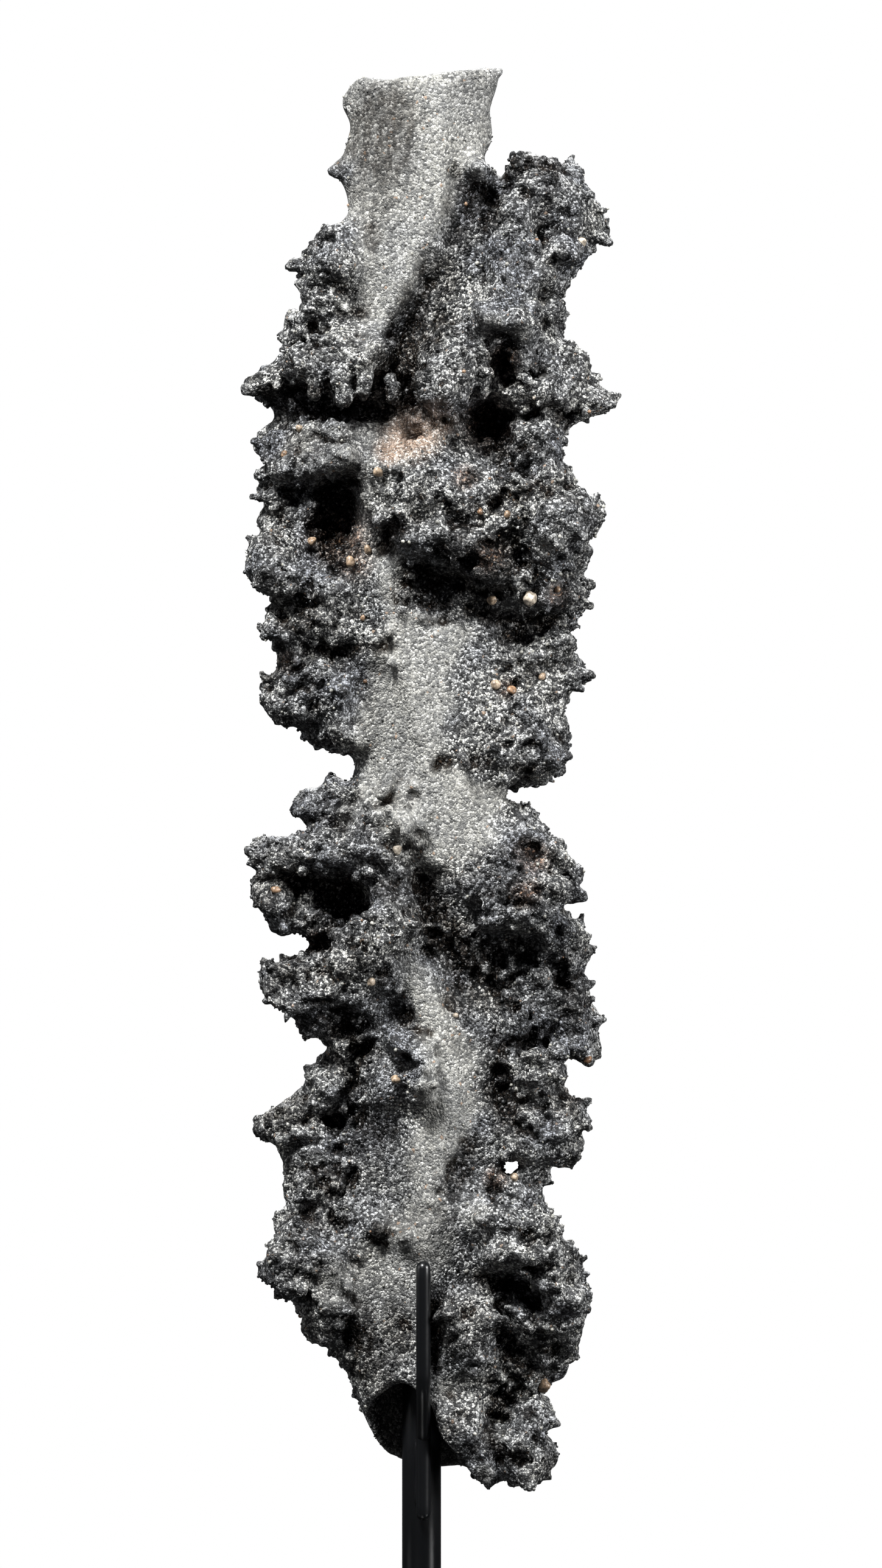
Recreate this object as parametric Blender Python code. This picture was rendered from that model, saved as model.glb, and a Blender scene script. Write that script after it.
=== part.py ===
"""A fulgurite, a tube of sand fused by lightning, standing on a black display stand.

The stone is one closed solid: a fluted central tube with ragged flanges at both sides and at
the back, grown over with lumps. Its tube is hollow from the broken foot to the broken neck.
A steel post reaches up into the foot, and a thin finger clips the front wall against it.

Lengths are in millimetres up to the last step, which turns them to metres. X runs to the
right, Y to the back and Z up. The origin is at the bottom centre of the base, on the post's
axis. In every table a height is measured from the stone's lowest tip.
"""

import math
import random

import bmesh
import bpy
from mathutils import Matrix, Vector, noise
from mathutils.geometry import delaunay_2d_cdt

MM = 0.001

# Stand
BASE_SIDE = 90.0
BASE_HEIGHT = 12.0
BASE_CHAMFER = 1.5
POST_DIAMETER = 6.35
POST_SOCKET_DEPTH = 9.0
POST_TIP_HEIGHT = 45.0
POST_BEVEL = 1.0
FINGER_DIAMETER = 2.38
FINGER_X = 0.3
FINGER_SIDES = 14
CLEARANCE = 0.3
ROD_SIDES = 32
SHARP_ANGLE = 40.0

# Stone
TIP_ABOVE_BASE = 23.5
FOOT_Z = BASE_HEIGHT + TIP_ABOVE_BASE
VOXEL = 0.9
STONE_TRIANGLES = 9100
KNOB_SPACING = 4.6
KNOB_HEIGHT = 1.7
GRIT_SPACING = 2.4
GRIT_HEIGHT = 0.5
TRIM_DEPTH = 80.0
BREAK_FRONT = -25.0
BREAK_BACK = -1.0
WINDOW_DEPTH = 50.0
TUBE_SIDES = 28
RIDGE_SIDES = 12
HOLLOW_SIDES = 20
SWAY = 4.5
SWAY_REACH = 28.0

# The flanges' outline, (x, height): down the left rim from the neck to the foot ...
LEFT_RIM = (
    (-10, 230), (-13.5, 226.5), (-11.5, 221.5), (-13, 217), (-15.5, 214), (-12, 210.5),
    (-11.5, 207.5), (-16.5, 203.5), (-22, 199.5), (-19, 194), (-19.5, 191), (-22.5, 190.5),
    (-24, 187), (-22, 185.5), (-24, 183.5), (-29.5, 181), (-30, 178.5), (-25, 177),
    (-25, 173.5), (-28, 170.5), (-25, 167.5), (-27.5, 165), (-25.5, 163.5), (-28, 162),
    (-26, 159.5), (-27.5, 158), (-26, 155), (-29, 152.5), (-29, 149.5), (-24.5, 144),
    (-26.5, 140), (-23.5, 137.5), (-23.5, 134.5), (-26.5, 132), (-25, 126.5), (-24, 125),
    (-19.5, 123.5), (-19.5, 121.5), (-13, 120), (-10.5, 118), (-11.5, 115), (-15.5, 116),
    (-16, 113), (-19.5, 113.5), (-21.5, 111), (-18, 107), (-24.5, 106.5), (-29, 104),
    (-26.5, 100.5), (-28, 98.5), (-25.5, 92), (-23, 89), (-20.5, 89.5), (-18, 92),
    (-19.5, 87.5), (-26.5, 84.5), (-26, 79.5), (-22, 78.5), (-19.5, 73.5), (-14.5, 72),
    (-19, 68.5), (-17.5, 65.5), (-22.5, 64), (-27.5, 58.5), (-22, 52), (-22, 47.5),
    (-20.5, 46), (-23.5, 44.5), (-24, 41.5), (-26.5, 35), (-24, 31.5), (-20.5, 29),
    (-20, 25.5), (-15, 22.5), (-11.5, 16), (-9, 11), (-6.5, 5), (-3, 3.5),
)
# ... and up the right rim from the foot to the neck's broken edge.
RIGHT_RIM = (
    (3, 2.5), (7.5, 3), (9, 1), (18, 0), (20, 1), (22, 5), (20, 9), (22, 10), (19.5, 14.5),
    (24, 19), (26.5, 24.5), (28, 29), (26, 35), (27, 37.5), (22.5, 41), (21.5, 45),
    (19, 46.5), (22, 53), (25, 52.5), (28, 62.5), (26, 64), (21.5, 64), (20, 66.5),
    (23, 70.5), (27.5, 68.5), (29.5, 71.5), (29, 76.5), (27, 79.5), (28, 82), (26.5, 84.5),
    (27.5, 90), (25.5, 92.5), (23.5, 92.5), (23, 95), (27, 95), (25.5, 100.5), (23.5, 102.5),
    (23.5, 106.5), (19, 107.5), (18, 110.5), (13.5, 113.5), (14, 115.5), (17, 114), (22, 116),
    (24.5, 118), (23.5, 124.5), (22.5, 128), (28.5, 132), (28, 133.5), (24, 136.5), (25, 140),
    (28, 142.5), (28.5, 146.5), (26.5, 148), (27.5, 151), (26, 153), (29.5, 155.5),
    (30, 160.5), (28.5, 162), (25, 162.5), (22, 169), (23, 171.5), (28, 174), (32.5, 177.5),
    (32.5, 178.5), (28.5, 179), (29.5, 181), (26, 184.5), (22, 187.5), (23.5, 190),
    (23.5, 194), (21, 196.5), (25.5, 197.5), (27.5, 201), (26, 202.5), (31, 202),
    (31.5, 204.5), (26.5, 214), (26.5, 216), (25, 217), (23, 215.5), (19, 217.5),
    (14.5, 217), (14.5, 213.5), (9.5, 215.5), (12, 220), (11, 224), (13.5, 230.5),
    (13, 231.5), (5, 230.5), (-6.5, 229),
)
# A flange is thin at its rim and thickens towards the tube: (share of the reach, thickness).
FLANGE_LAYERS = ((1.0, 3.0), (0.86, 6.0), (0.7, 9.5), (0.5, 13.0))

# The central tube: (height, left side, right side, depth to the front, depth to the back).
TUBE_SECTIONS = (
    (1, -6, 9, 6, 7), (14, -10, 10, 8, 8), (34, -10.5, 10.5, 8.5, 8.5),
    (54, -9.5, 11.5, 8.5, 8.5), (74, -7.5, 12, 8, 9), (94, -9, 11.5, 8, 9),
    (113, -11, 13, 8.5, 8), (133, -10, 12, 8.5, 8), (153, -10.5, 11, 8, 9),
    (173, -10, 9.5, 7.5, 9), (192, -12, 8, 8, 8.5), (212, -12, 10, 8, 7.5),
    (222, -11.5, 11, 7.5, 7), (230.5, -12.5, 12.5, 7, 6.5),
)
# The rounded ridge that winds up the tube's front: (height, x).
RIDGE = (
    (38, 0.5), (48, 1.5), (56, 2), (63.5, 5), (71.5, 4), (79.5, 0.5), (87.5, -2), (95.5, 0),
    (103.5, 2), (113.5, 1), (123, 0.5), (131, -1.5), (138, -4), (149, -5), (157, -1),
    (167, 0), (179, -4), (188.5, -4.5), (195.5, -3), (202.5, 0), (209.5, 2), (217.5, 2.5),
    (228, 3),
)
RIDGE_RADIUS = 2.6
RIDGE_RISE = 1.3

# Lumps on the front: (x, height, half width, half height, tilt in degrees, depth reached).
FRONT_LUMPS = (
    (-13, 200.5, 7.5, 5.5, -20, 9), (-14.5, 192.5, 7, 4, 0, 8), (-13, 184, 9.5, 4.5, 10, 13),
    (-23.5, 180, 6, 2, -5, 7), (-12, 178, 2, 2, 0, 13), (20.5, 209.5, 10, 5, -40, 9),
    (15.5, 199.5, 4.5, 11, 10, 13), (13.5, 188.5, 6, 8, 0, 15), (4, 181.5, 5, 7.5, 0, 15),
    (21, 182.5, 7, 6, -20, 10), (23.5, 177, 9, 3, -10, 7), (-15.5, 169.5, 11, 4.5, 5, 9.5),
    (0, 162, 10.5, 7.5, 0, 16), (2.5, 154.5, 8, 4.5, -10, 16), (18.5, 170, 6, 5.5, 0, 9.5),
    (19.5, 158, 9, 5.5, -10, 12.5), (27, 158.5, 4, 4, 0, 6.5), (10.5, 150, 6, 4.5, 0, 15),
    (18.5, 144.5, 8, 2.5, 5, 11), (18.5, 134.5, 8, 3, -5, 8), (17.5, 127.5, 8, 6.5, 0, 9),
    (16.5, 119, 7, 4, -10, 9), (-24, 150.5, 5, 5.5, 0, 7.5), (-17, 146, 8, 3.5, -15, 9),
    (-19, 140, 7.5, 2, 5, 7), (-7, 136.5, 3.5, 1, 0, 11), (-17, 129, 8.5, 6.5, -10, 8),
    (-19.5, 111, 3, 2.5, 0, 6), (-7.5, 109, 5, 2, 35, 12), (-17, 103.5, 11.5, 3.5, 5, 12),
    (-8, 103.5, 5, 4, -20, 12.5), (-24, 95.5, 4.5, 5, 0, 7), (-6, 93.5, 6.5, 6, -10, 14),
    (-9, 85, 7, 5, -20, 12), (-22, 82.5, 5, 4.5, 0, 7), (-15, 78.5, 9, 6, -20, 9),
    (-2, 72.5, 5, 2, -15, 13), (-5.5, 65.5, 4.5, 5, -20, 10), (-15, 66.5, 5, 3, 0, 6.5),
    (-21, 59.5, 7, 3, 15, 7.5), (-17, 51, 5.5, 6, 0, 6.5), (-18, 37, 8.5, 7.5, 0, 9),
    (-7.5, 42.5, 2, 2, 0, 12.5), (-2.5, 40.5, 2, 2, 0, 12.5), (17.5, 103.5, 7, 3.5, 0, 9.5),
    (15, 97.5, 9.5, 4, -10, 13), (23.5, 87.5, 5, 5, 0, 8), (21, 79.5, 6, 3, 0, 9),
    (24.5, 74, 5, 5, 0, 8), (17.5, 74.5, 5, 3, 0, 7.5), (20.5, 60.5, 7, 4, -10, 9),
    (15.5, 56.5, 4, 5, 0, 7.5), (17, 42, 10, 4.5, -10, 12), (23, 32, 5.5, 5, 0, 9.5),
    (21, 24.5, 6, 5, 0, 9.5), (8, 25, 5, 7.5, -5, 12), (6, 10.5, 4.5, 4.5, 0, 10),
    (17, 10.5, 5, 4, 0, 8), (17.5, 4, 5, 4, 0, 7.5),
)

# Caves and pits in the front: (x, height, half width, half height, tilt, depth of the floor).
FRONT_PITS = (
    (13.5, 183, 1.8, 2.6, 0, 0.5), (10.5, 173, 4.5, 4, 0, 1), (-1, 171.5, 6, 3, 0, 5.5),
    (-14, 157, 4.5, 7.5, -10, -1), (4.5, 146, 8.5, 2.5, 0, 4.5), (-5, 155, 2, 1.5, 0, 6),
    (18.5, 139.5, 7, 1.6, 0, 3.5), (-14.5, 137.5, 6, 1.2, 0, 3.5), (-11.5, 95, 4, 4.5, 0, 0),
    (-16.5, 88.5, 2, 1.6, 0, -1), (12, 83.5, 8, 6.5, 0, 3.5), (13, 64.5, 3, 7, 0, 4.5),
    (-11, 60.5, 2.2, 3, 0, 1), (11.5, 48.5, 1.4, 1.8, 0, 0), (15, 29, 3, 4.5, 0, 2.5),
    (-9, 26, 2, 4, 0, 5), (12.5, 15, 2, 3, 0, 4), (8, 6, 1.4, 1.8, 0, 4.5),
)
# Long valleys in the front: ((x, height) along the valley, half width, depth of the floor).
FRONT_VALLEYS = (
    (((10, 213.5), (7, 207), (1, 195), (-3.5, 183.5)), 2.3, 4.0),
    (((-24.5, 176), (-13, 175), (-5, 174.8)), 2.2, 1.5),
    (((0.5, 99), (4, 89.5), (7, 79.5)), 3.2, 4.5),
)
PIT_REACH = 10.0

# The back flange and its lumps, which follow a loop with these limits.
BACK_REACH = 19.0
BACK_LUMPS = 34
BACK_SEED = 11

# The hollow: (height, x, y, half width, half depth). Its shoulder sits on the post's tip.
HOLLOW = (
    (-6, 1.5, 0, 8.5, 4.6), (12, 1.0, 0, 8.0, 4.8), (26, 0.5, 0, 6.2, 4.6),
    (40, 0.2, 0, 4.6, 4.2), (45.8, 0, 0, 4.0, 4.0), (46.6, 0, 0, 2.2, 2.2), (90, 1.5, 0, 2.0, 1.8),
    (150, 0, 0.5, 2.0, 1.8), (185, -1.5, 0, 2.4, 1.8), (205, -1, 0, 5.0, 2.4),
    (222, 0, 0, 7.5, 3.4), (240, 0.5, 0, 9.5, 4.2),
)
# The arch where the front wall has broken off the foot, (x, height) from left to right.
FOOT_BREAK = (
    (-16, -8), (-12.5, 9), (-9, 13), (-4.5, 17), (-2.5, 17.3), (1.5, 14), (3.2, 8), (8, 2.5),
    (9, -8),
)
# Windows right through a flange: (x, height, radius).
WINDOWS = ((-21, 136.5, 1.2), (14.5, 52, 1.5))

# The finger's middle line, (y, height): brazed along the post, then out over the front wall.
FINGER_ROUTE = (
    (0.0, -4.0), (0.0, 7.0), (-0.9, 9.5), (-4.6, 15.0), (-5.8, 17.5), (-6.2, 21.0),
    (-6.2, 36.1),
)
# The finger's round ends: (share of the radius back from the end, share of the radius).
ROUND_END = ((0.999, 0.15), (0.8, 0.6), (0.45, 0.9))


def clear_scene():
    """Remove every object of the file that the script starts in."""
    for item in list(bpy.data.objects):
        bpy.data.objects.remove(item, do_unlink=True)


def add_object(name, mesh):
    """Link a mesh to the scene as a named object."""
    item = bpy.data.objects.new(name, mesh)
    bpy.context.scene.collection.objects.link(item)
    return item


def mesh_from(name, bm):
    """Turn a bmesh into a mesh and free it."""
    mesh = bpy.data.meshes.new(name)
    bmesh.ops.recalc_face_normals(bm, faces=bm.faces)
    bm.to_mesh(mesh)
    bm.free()
    return mesh


def evaluated_mesh(item):
    """A new mesh of an object with its modifiers applied."""
    graph = bpy.context.evaluated_depsgraph_get()
    return bpy.data.meshes.new_from_object(item.evaluated_get(graph))


def finish_with(name, colour, roughness):
    """A plain Principled material."""
    material = bpy.data.materials.new(name)
    material.use_nodes = True
    shader = material.node_tree.nodes["Principled BSDF"]
    shader.inputs["Base Color"].default_value = (*colour, 1.0)
    shader.inputs["Roughness"].default_value = roughness
    return material


def between(table, height, column):
    """Read one column of a table of rows that start with a rising height."""
    if height <= table[0][0]:
        return table[0][column]
    for low, high in zip(table, table[1:]):
        if height <= high[0]:
            share = (height - low[0]) / (high[0] - low[0])
            return low[column] + share * (high[column] - low[column])
    return table[-1][column]


def smooth_step(low, high, value):
    """0 below low, 1 above high and a soft ramp in between."""
    share = min(1.0, max(0.0, (value - low) / (high - low)))
    return share * share * (3.0 - 2.0 * share)


def add_ellipsoid(bm, centre, radii, tilt=0.0, turn=0.0):
    """Add a ball of three radii, tilted about Y and turned about Z, in degrees."""
    place = (
        Matrix.Translation(centre)
        @ Matrix.Rotation(math.radians(turn), 4, "Z")
        @ Matrix.Rotation(math.radians(-tilt), 4, "Y")
        @ Matrix.Diagonal((*radii, 1.0))
    )
    bmesh.ops.create_icosphere(bm, subdivisions=3, radius=1.0, matrix=place)


def add_loft(bm, rings):
    """Bridge closed rings of points, one after the other, and close both ends."""
    loops = [[bm.verts.new(point) for point in ring] for ring in rings]
    count = len(loops[0])
    for low, high in zip(loops, loops[1:]):
        for i in range(count):
            j = (i + 1) % count
            bm.faces.new((low[i], low[j], high[j], high[i]))
    bm.faces.new(list(reversed(loops[0])))
    bm.faces.new(loops[-1])


def ring_of(height, x, y, half_width, half_front, half_back, count):
    """A level oval whose front and back halves have depths of their own."""
    points = []
    for i in range(count):
        angle = 2.0 * math.pi * i / count
        depth = half_back if math.sin(angle) > 0.0 else half_front
        points.append((x + half_width * math.cos(angle), y + depth * math.sin(angle), height))
    return points


def add_prism(bm, outline, y_front, y_back):
    """Extrude an (x, height) outline along Y."""
    count = len(outline)
    flat = [Vector(point) for point in outline]
    triangles = delaunay_2d_cdt(flat, [], [list(range(count))], 1, 1e-6)[2]
    front = [bm.verts.new((x, y_front, height)) for x, height in outline]
    back = [bm.verts.new((x, y_back, height)) for x, height in outline]
    for a, b, c in triangles:
        bm.faces.new((front[a], front[b], front[c]))
        bm.faces.new((back[c], back[b], back[a]))
    for i in range(count):
        j = (i + 1) % count
        bm.faces.new((front[j], front[i], back[i], back[j]))


def add_flanges(bm):
    """The side flanges: the whole outline, thin at the rim and thicker towards the tube."""
    for reach, thickness in FLANGE_LAYERS:
        outline = [(x * reach, height) for x, height in LEFT_RIM + RIGHT_RIM]
        add_prism(bm, outline, -thickness / 2.0, thickness / 2.0)


def add_tube(bm):
    """The fluted central tube, before it is made hollow, and the ridge on its front."""
    rings = []
    for height, left, right, front, back in TUBE_SECTIONS:
        middle = (left + right) / 2.0
        rings.append(ring_of(height, middle, 0.0, (right - left) / 2.0, front, back, TUBE_SIDES))
    add_loft(bm, rings)
    ridge = []
    for height, x in RIDGE:
        front = between(TUBE_SECTIONS, height, 3)
        y = -(front + RIDGE_RISE - RIDGE_RADIUS)
        ridge.append(ring_of(height, x, y, RIDGE_RADIUS, RIDGE_RADIUS, RIDGE_RADIUS, RIDGE_SIDES))
    add_loft(bm, ridge)


def add_front_lumps(bm):
    """The lumps and ledges on the front."""
    for x, height, half_width, half_height, tilt, depth in FRONT_LUMPS:
        thickness = min(6.0, 2.0 + 0.6 * min(half_width, half_height))
        centre = (x, thickness - depth, height)
        add_ellipsoid(bm, centre, (half_width, thickness, half_height), tilt)


def back_reach(height):
    """How far the back flange reaches at a height: a few big lobes with notches between."""
    lobes = abs(math.sin(height * 0.058 + 0.7)) ** 0.6
    teeth = 1.6 * math.sin(height * 0.83) + 1.1 * math.sin(height * 1.71 + 1.0)
    neck = 1.0 - smooth_step(190.0, 214.0, height)
    foot = smooth_step(2.0, 30.0, height)
    return 8.0 + (BACK_REACH - 9.5) * lobes * neck * foot + teeth * neck * foot


def add_back(bm):
    """The back flange, which leans to one side and the other, and the lumps around it."""
    rings = []
    for step in range(2, 116):
        height = 2.0 * step
        reach = back_reach(height)
        lean = 5.0 * math.sin(height * 0.036 + 1.2)
        root = between(TUBE_SECTIONS, height, 4) - 4.0
        rings.append([
            (lean * 0.2 - 5.0, root, height), (lean - 1.2, reach - 1.0, height),
            (lean, reach, height), (lean + 1.2, reach - 1.0, height), (lean * 0.2 + 5.0, root, height),
        ])
    add_loft(bm, rings)
    draw = random.Random(BACK_SEED)
    for i in range(BACK_LUMPS):
        height = 10.0 + 190.0 * (i + draw.random()) / BACK_LUMPS
        side = 1.0 if i % 2 else -1.0
        x = side * draw.uniform(7.0, 19.0)
        depth = 12.5 - 0.28 * abs(x) + draw.uniform(-1.0, 2.5)
        half_width = draw.uniform(4.0, 8.5)
        half_height = draw.uniform(2.5, 5.5)
        thickness = min(6.0, 2.0 + 0.6 * half_height)
        centre = (x, depth - thickness, height)
        add_ellipsoid(bm, centre, (half_width, thickness, half_height), draw.uniform(-20.0, 20.0))


def add_pits(bm):
    """Cutters for the caves, pits and valleys of the front."""
    for x, height, half_width, half_height, tilt, floor in FRONT_PITS:
        centre = (x, -floor - PIT_REACH, height)
        add_ellipsoid(bm, centre, (half_width, PIT_REACH, half_height), tilt)
    for route, half_width, floor in FRONT_VALLEYS:
        for (x0, h0), (x1, h1) in zip(route, route[1:]):
            steps = max(2, round(math.hypot(x1 - x0, h1 - h0) / half_width))
            for i in range(steps + 1):
                share = i / steps
                centre = (x0 + share * (x1 - x0), -floor - PIT_REACH, h0 + share * (h1 - h0))
                add_ellipsoid(bm, centre, (half_width, PIT_REACH, half_width))


def add_hollow(bm):
    """Cutter for the hollow, from below the foot to above the neck."""
    rings = []
    for height, x, y, half_width, half_depth in HOLLOW:
        rings.append(ring_of(height, x, y, half_width, half_depth, half_depth, HOLLOW_SIDES))
    add_loft(bm, rings)


def add_outline(bm):
    """The whole outline as a deep block, to trim the lumps that reach past the rims."""
    add_prism(bm, LEFT_RIM + RIGHT_RIM, -TRIM_DEPTH / 2.0, TRIM_DEPTH / 2.0)


def add_breaks(bm):
    """Cutters for the broken arch at the foot and for the windows in the flanges."""
    add_prism(bm, FOOT_BREAK, BREAK_FRONT, BREAK_BACK)
    for x, height, radius in WINDOWS:
        place = Matrix.Translation((x, 0.0, height)) @ Matrix.Rotation(math.pi / 2.0, 4, "X")
        bmesh.ops.create_cone(
            bm, cap_ends=True, segments=16, radius1=radius, radius2=radius, depth=WINDOW_DEPTH,
            matrix=place,
        )


def sway(point):
    """Bend the flanges forwards and backwards, more the further out they are."""
    phase = 0.0 if point.x > 0.0 else 2.1
    bend = SWAY * math.sin(point.z * 0.105 + phase)
    share = min(1.0, abs(point.x) / SWAY_REACH) ** 1.6
    return Vector((point.x, point.y + bend * share, point.z))


def fused(name, build_steps, voxel):
    """Fuse all that the steps add into one closed mesh of even faces."""
    bm = bmesh.new()
    for step in build_steps:
        step(bm)
    for vert in bm.verts:
        vert.co = vert.co * MM
    item = add_object(name, mesh_from(name, bm))
    remesh = item.modifiers.new("Fuse", "REMESH")
    remesh.mode = "VOXEL"
    remesh.voxel_size = voxel * MM
    mesh = evaluated_mesh(item)
    bpy.data.objects.remove(item, do_unlink=True)
    return mesh


def knob(point, spacing):
    """Round knobs set close together: 1 on a knob's middle, 0 in the gaps."""
    distances, _ = noise.voronoi(point / (spacing * MM), distance_metric="DISTANCE", exponent=1.0)
    return max(0.0, 1.0 - (distances[0] / 0.62) ** 2)


def roughness_at(point):
    """How knobbly the stone is at a point: the neck and the tube's front are smooth."""
    x, y, height = point.x / MM, point.y / MM, point.z / MM
    left = between(TUBE_SECTIONS, height, 1)
    right = between(TUBE_SECTIONS, height, 2)
    outside = max(left + 1.0 - x, x - right + 1.0)
    lumps = smooth_step(8.8, 10.5, abs(y))
    neck = 1.0 - smooth_step(200.0, 208.0, height) * smooth_step(3.0, -1.0, outside)
    return max(smooth_step(0.0, 4.0, outside), 0.8 * lumps) * neck


def roughen(mesh):
    """Raise knobs and grit along the normals, and bend the flanges."""
    moved = []
    for vert in mesh.vertices:
        point = vert.co.copy()
        raised = (knob(point, KNOB_SPACING) - 0.4) * KNOB_HEIGHT
        raised += (knob(point, GRIT_SPACING) - 0.4) * GRIT_HEIGHT
        shifted = point + vert.normal * (raised * roughness_at(point) * MM)
        moved.append(sway(shifted / MM) * MM)
    for vert, place in zip(mesh.vertices, moved):
        vert.co = place


def keep_largest_body(mesh):
    """Delete the crumbs that cutting leaves beside the main body."""
    bm = bmesh.new()
    bm.from_mesh(mesh)
    left = set(bm.verts)
    bodies = []
    while left:
        stack = [left.pop()]
        body = set(stack)
        while stack:
            for edge in stack.pop().link_edges:
                for vert in edge.verts:
                    if vert not in body:
                        body.add(vert)
                        stack.append(vert)
        left -= body
        bodies.append(body)
    largest = max(bodies, key=len)
    crumbs = [vert for vert in bm.verts if vert not in largest]
    bmesh.ops.delete(bm, geom=crumbs, context="VERTS")
    bmesh.ops.triangulate(bm, faces=bm.faces)
    bm.to_mesh(mesh)
    bm.free()


def add_cut(item, cutter_mesh, operation="DIFFERENCE"):
    """Cut an object with a closed mesh."""
    cutter = add_object("cutter", cutter_mesh)
    cutter.hide_render = True
    cutter.display_type = "WIRE"
    cut = item.modifiers.new("Cut", "BOOLEAN")
    cut.operation = operation
    cut.object = cutter
    return cutter


def build_stone():
    """The fulgurite, as one closed solid."""
    solid = fused("stone_form", (add_flanges, add_tube, add_front_lumps, add_back), VOXEL)
    hollows = fused("stone_hollows", (add_pits, add_hollow, add_breaks), VOXEL)
    trim = bmesh.new()
    add_outline(trim)
    for vert in trim.verts:
        vert.co = vert.co * MM

    item = add_object("stone_cut", solid)
    cutters = [add_cut(item, mesh_from("trim", trim), "INTERSECT")]
    soften = item.modifiers.new("Soften", "SMOOTH")
    soften.factor = 0.5
    soften.iterations = 2
    cutters.append(add_cut(item, hollows))
    remesh = item.modifiers.new("Even", "REMESH")
    remesh.mode = "VOXEL"
    remesh.voxel_size = VOXEL * MM
    mesh = evaluated_mesh(item)
    for spent in (*cutters, item):
        bpy.data.objects.remove(spent, do_unlink=True)

    roughen(mesh)
    keep_largest_body(mesh)
    fine = add_object("stone_fine", mesh)
    thin_out = fine.modifiers.new("Thin out", "DECIMATE")
    thin_out.ratio = STONE_TRIANGLES / len(mesh.polygons)
    stone = add_object("fulgurite", evaluated_mesh(fine))
    bpy.data.objects.remove(fine, do_unlink=True)
    keep_largest_body(stone.data)
    stone.location = (0.0, 0.0, FOOT_Z * MM)
    stone.data.materials.append(finish_with("fused_sand", (0.16, 0.16, 0.155), 0.8))
    return stone


def build_post(paint):
    """The steel post, from its socket in the base up into the stone's foot."""
    bottom = BASE_HEIGHT - POST_SOCKET_DEPTH + CLEARANCE
    top = FOOT_Z + POST_TIP_HEIGHT
    radius = POST_DIAMETER / 2.0
    narrow = radius - POST_BEVEL
    bm = bmesh.new()
    rings = [
        ring_of(bottom, 0.0, 0.0, radius, radius, radius, ROD_SIDES),
        ring_of(top - POST_BEVEL, 0.0, 0.0, radius, radius, radius, ROD_SIDES),
        ring_of(top, 0.0, 0.0, narrow, narrow, narrow, ROD_SIDES),
    ]
    add_loft(bm, rings)
    return painted("stand_post", bm, paint)


def build_finger(paint):
    """The thin finger with round ends that holds the stone's front wall to the post."""
    radius = FINGER_DIAMETER / 2.0
    start = -(POST_DIAMETER / 2.0 + radius + CLEARANCE)
    points = [Vector((FINGER_X, start + y, FOOT_Z + height)) for y, height in FINGER_ROUTE]
    bm = bmesh.new()
    rings = []
    upright = Vector((0.0, 0.0, 1.0))
    first, last = points[0], points[-1]
    for back, share in ROUND_END:
        rings.append(tube_ring(first - upright * back * radius, upright, radius * share))
    for i, point in enumerate(points):
        before = points[max(0, i - 1)]
        after = points[min(len(points) - 1, i + 1)]
        rings.append(tube_ring(point, (after - before).normalized(), radius))
    for back, share in reversed(ROUND_END):
        rings.append(tube_ring(last + upright * back * radius, upright, radius * share))
    add_loft(bm, rings)
    return painted("stand_finger", bm, paint)


def tube_ring(centre, direction, radius):
    """A ring of points square to a direction in the YZ plane."""
    across = Vector((1.0, 0.0, 0.0))
    up = direction.cross(across)
    ring = []
    for i in range(FINGER_SIDES):
        angle = 2.0 * math.pi * i / FINGER_SIDES
        ring.append(centre + (across * math.cos(angle) + up * math.sin(angle)) * radius)
    return ring


def build_base(paint):
    """The base: a heavy square plate with a socket for the post."""
    bm = bmesh.new()
    size = Matrix.Diagonal((BASE_SIDE, BASE_SIDE, BASE_HEIGHT, 1.0))
    bmesh.ops.create_cube(bm, size=1.0, matrix=Matrix.Translation((0, 0, BASE_HEIGHT / 2.0)) @ size)
    item = painted("stand_base", bm, paint)
    socket = bmesh.new()
    radius = POST_DIAMETER / 2.0 + CLEARANCE
    low = BASE_HEIGHT - POST_SOCKET_DEPTH
    high = BASE_HEIGHT + POST_SOCKET_DEPTH
    rings = [ring_of(z, 0.0, 0.0, radius, radius, radius, ROD_SIDES) for z in (low, high)]
    add_loft(socket, rings)
    for vert in socket.verts:
        vert.co = vert.co * MM
    chamfer = item.modifiers.new("Chamfer", "BEVEL")
    chamfer.width = BASE_CHAMFER * MM
    chamfer.segments = 2
    add_cut(item, mesh_from("socket", socket))
    return item


def painted(name, bm, paint):
    """Make a stand piece from a bmesh in millimetres."""
    for vert in bm.verts:
        vert.co = vert.co * MM
    item = add_object(name, mesh_from(name, bm))
    item.data.materials.append(paint)
    item.data.shade_smooth()
    item.data.set_sharp_from_angle(angle=math.radians(SHARP_ANGLE))
    return item


def main():
    """Build the stone and its stand."""
    clear_scene()
    build_stone()
    paint = finish_with("black_satin_paint", (0.012, 0.012, 0.015), 0.38)
    build_post(paint)
    build_finger(paint)
    build_base(paint)


main()
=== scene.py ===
"""Dress a fulgurite and its display stand, and light them in a plain studio.

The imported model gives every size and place. This script grows the fine surface of the stone
over its plain solid, sets loose sand grains and pebbles in it, and gives the steel stand its
painted finish. Lengths are in metres, and names that end in _mm hold millimetres. Heights on
the stone are measured from its lowest tip.
"""

from __future__ import annotations

import logging
import math
from collections.abc import Callable
from dataclasses import dataclass
from enum import Enum
from functools import partial
from typing import ClassVar

import bmesh
import bpy
import numpy as np
from mathutils import Matrix, Vector, noise
from mathutils.bvhtree import BVHTree

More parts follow.
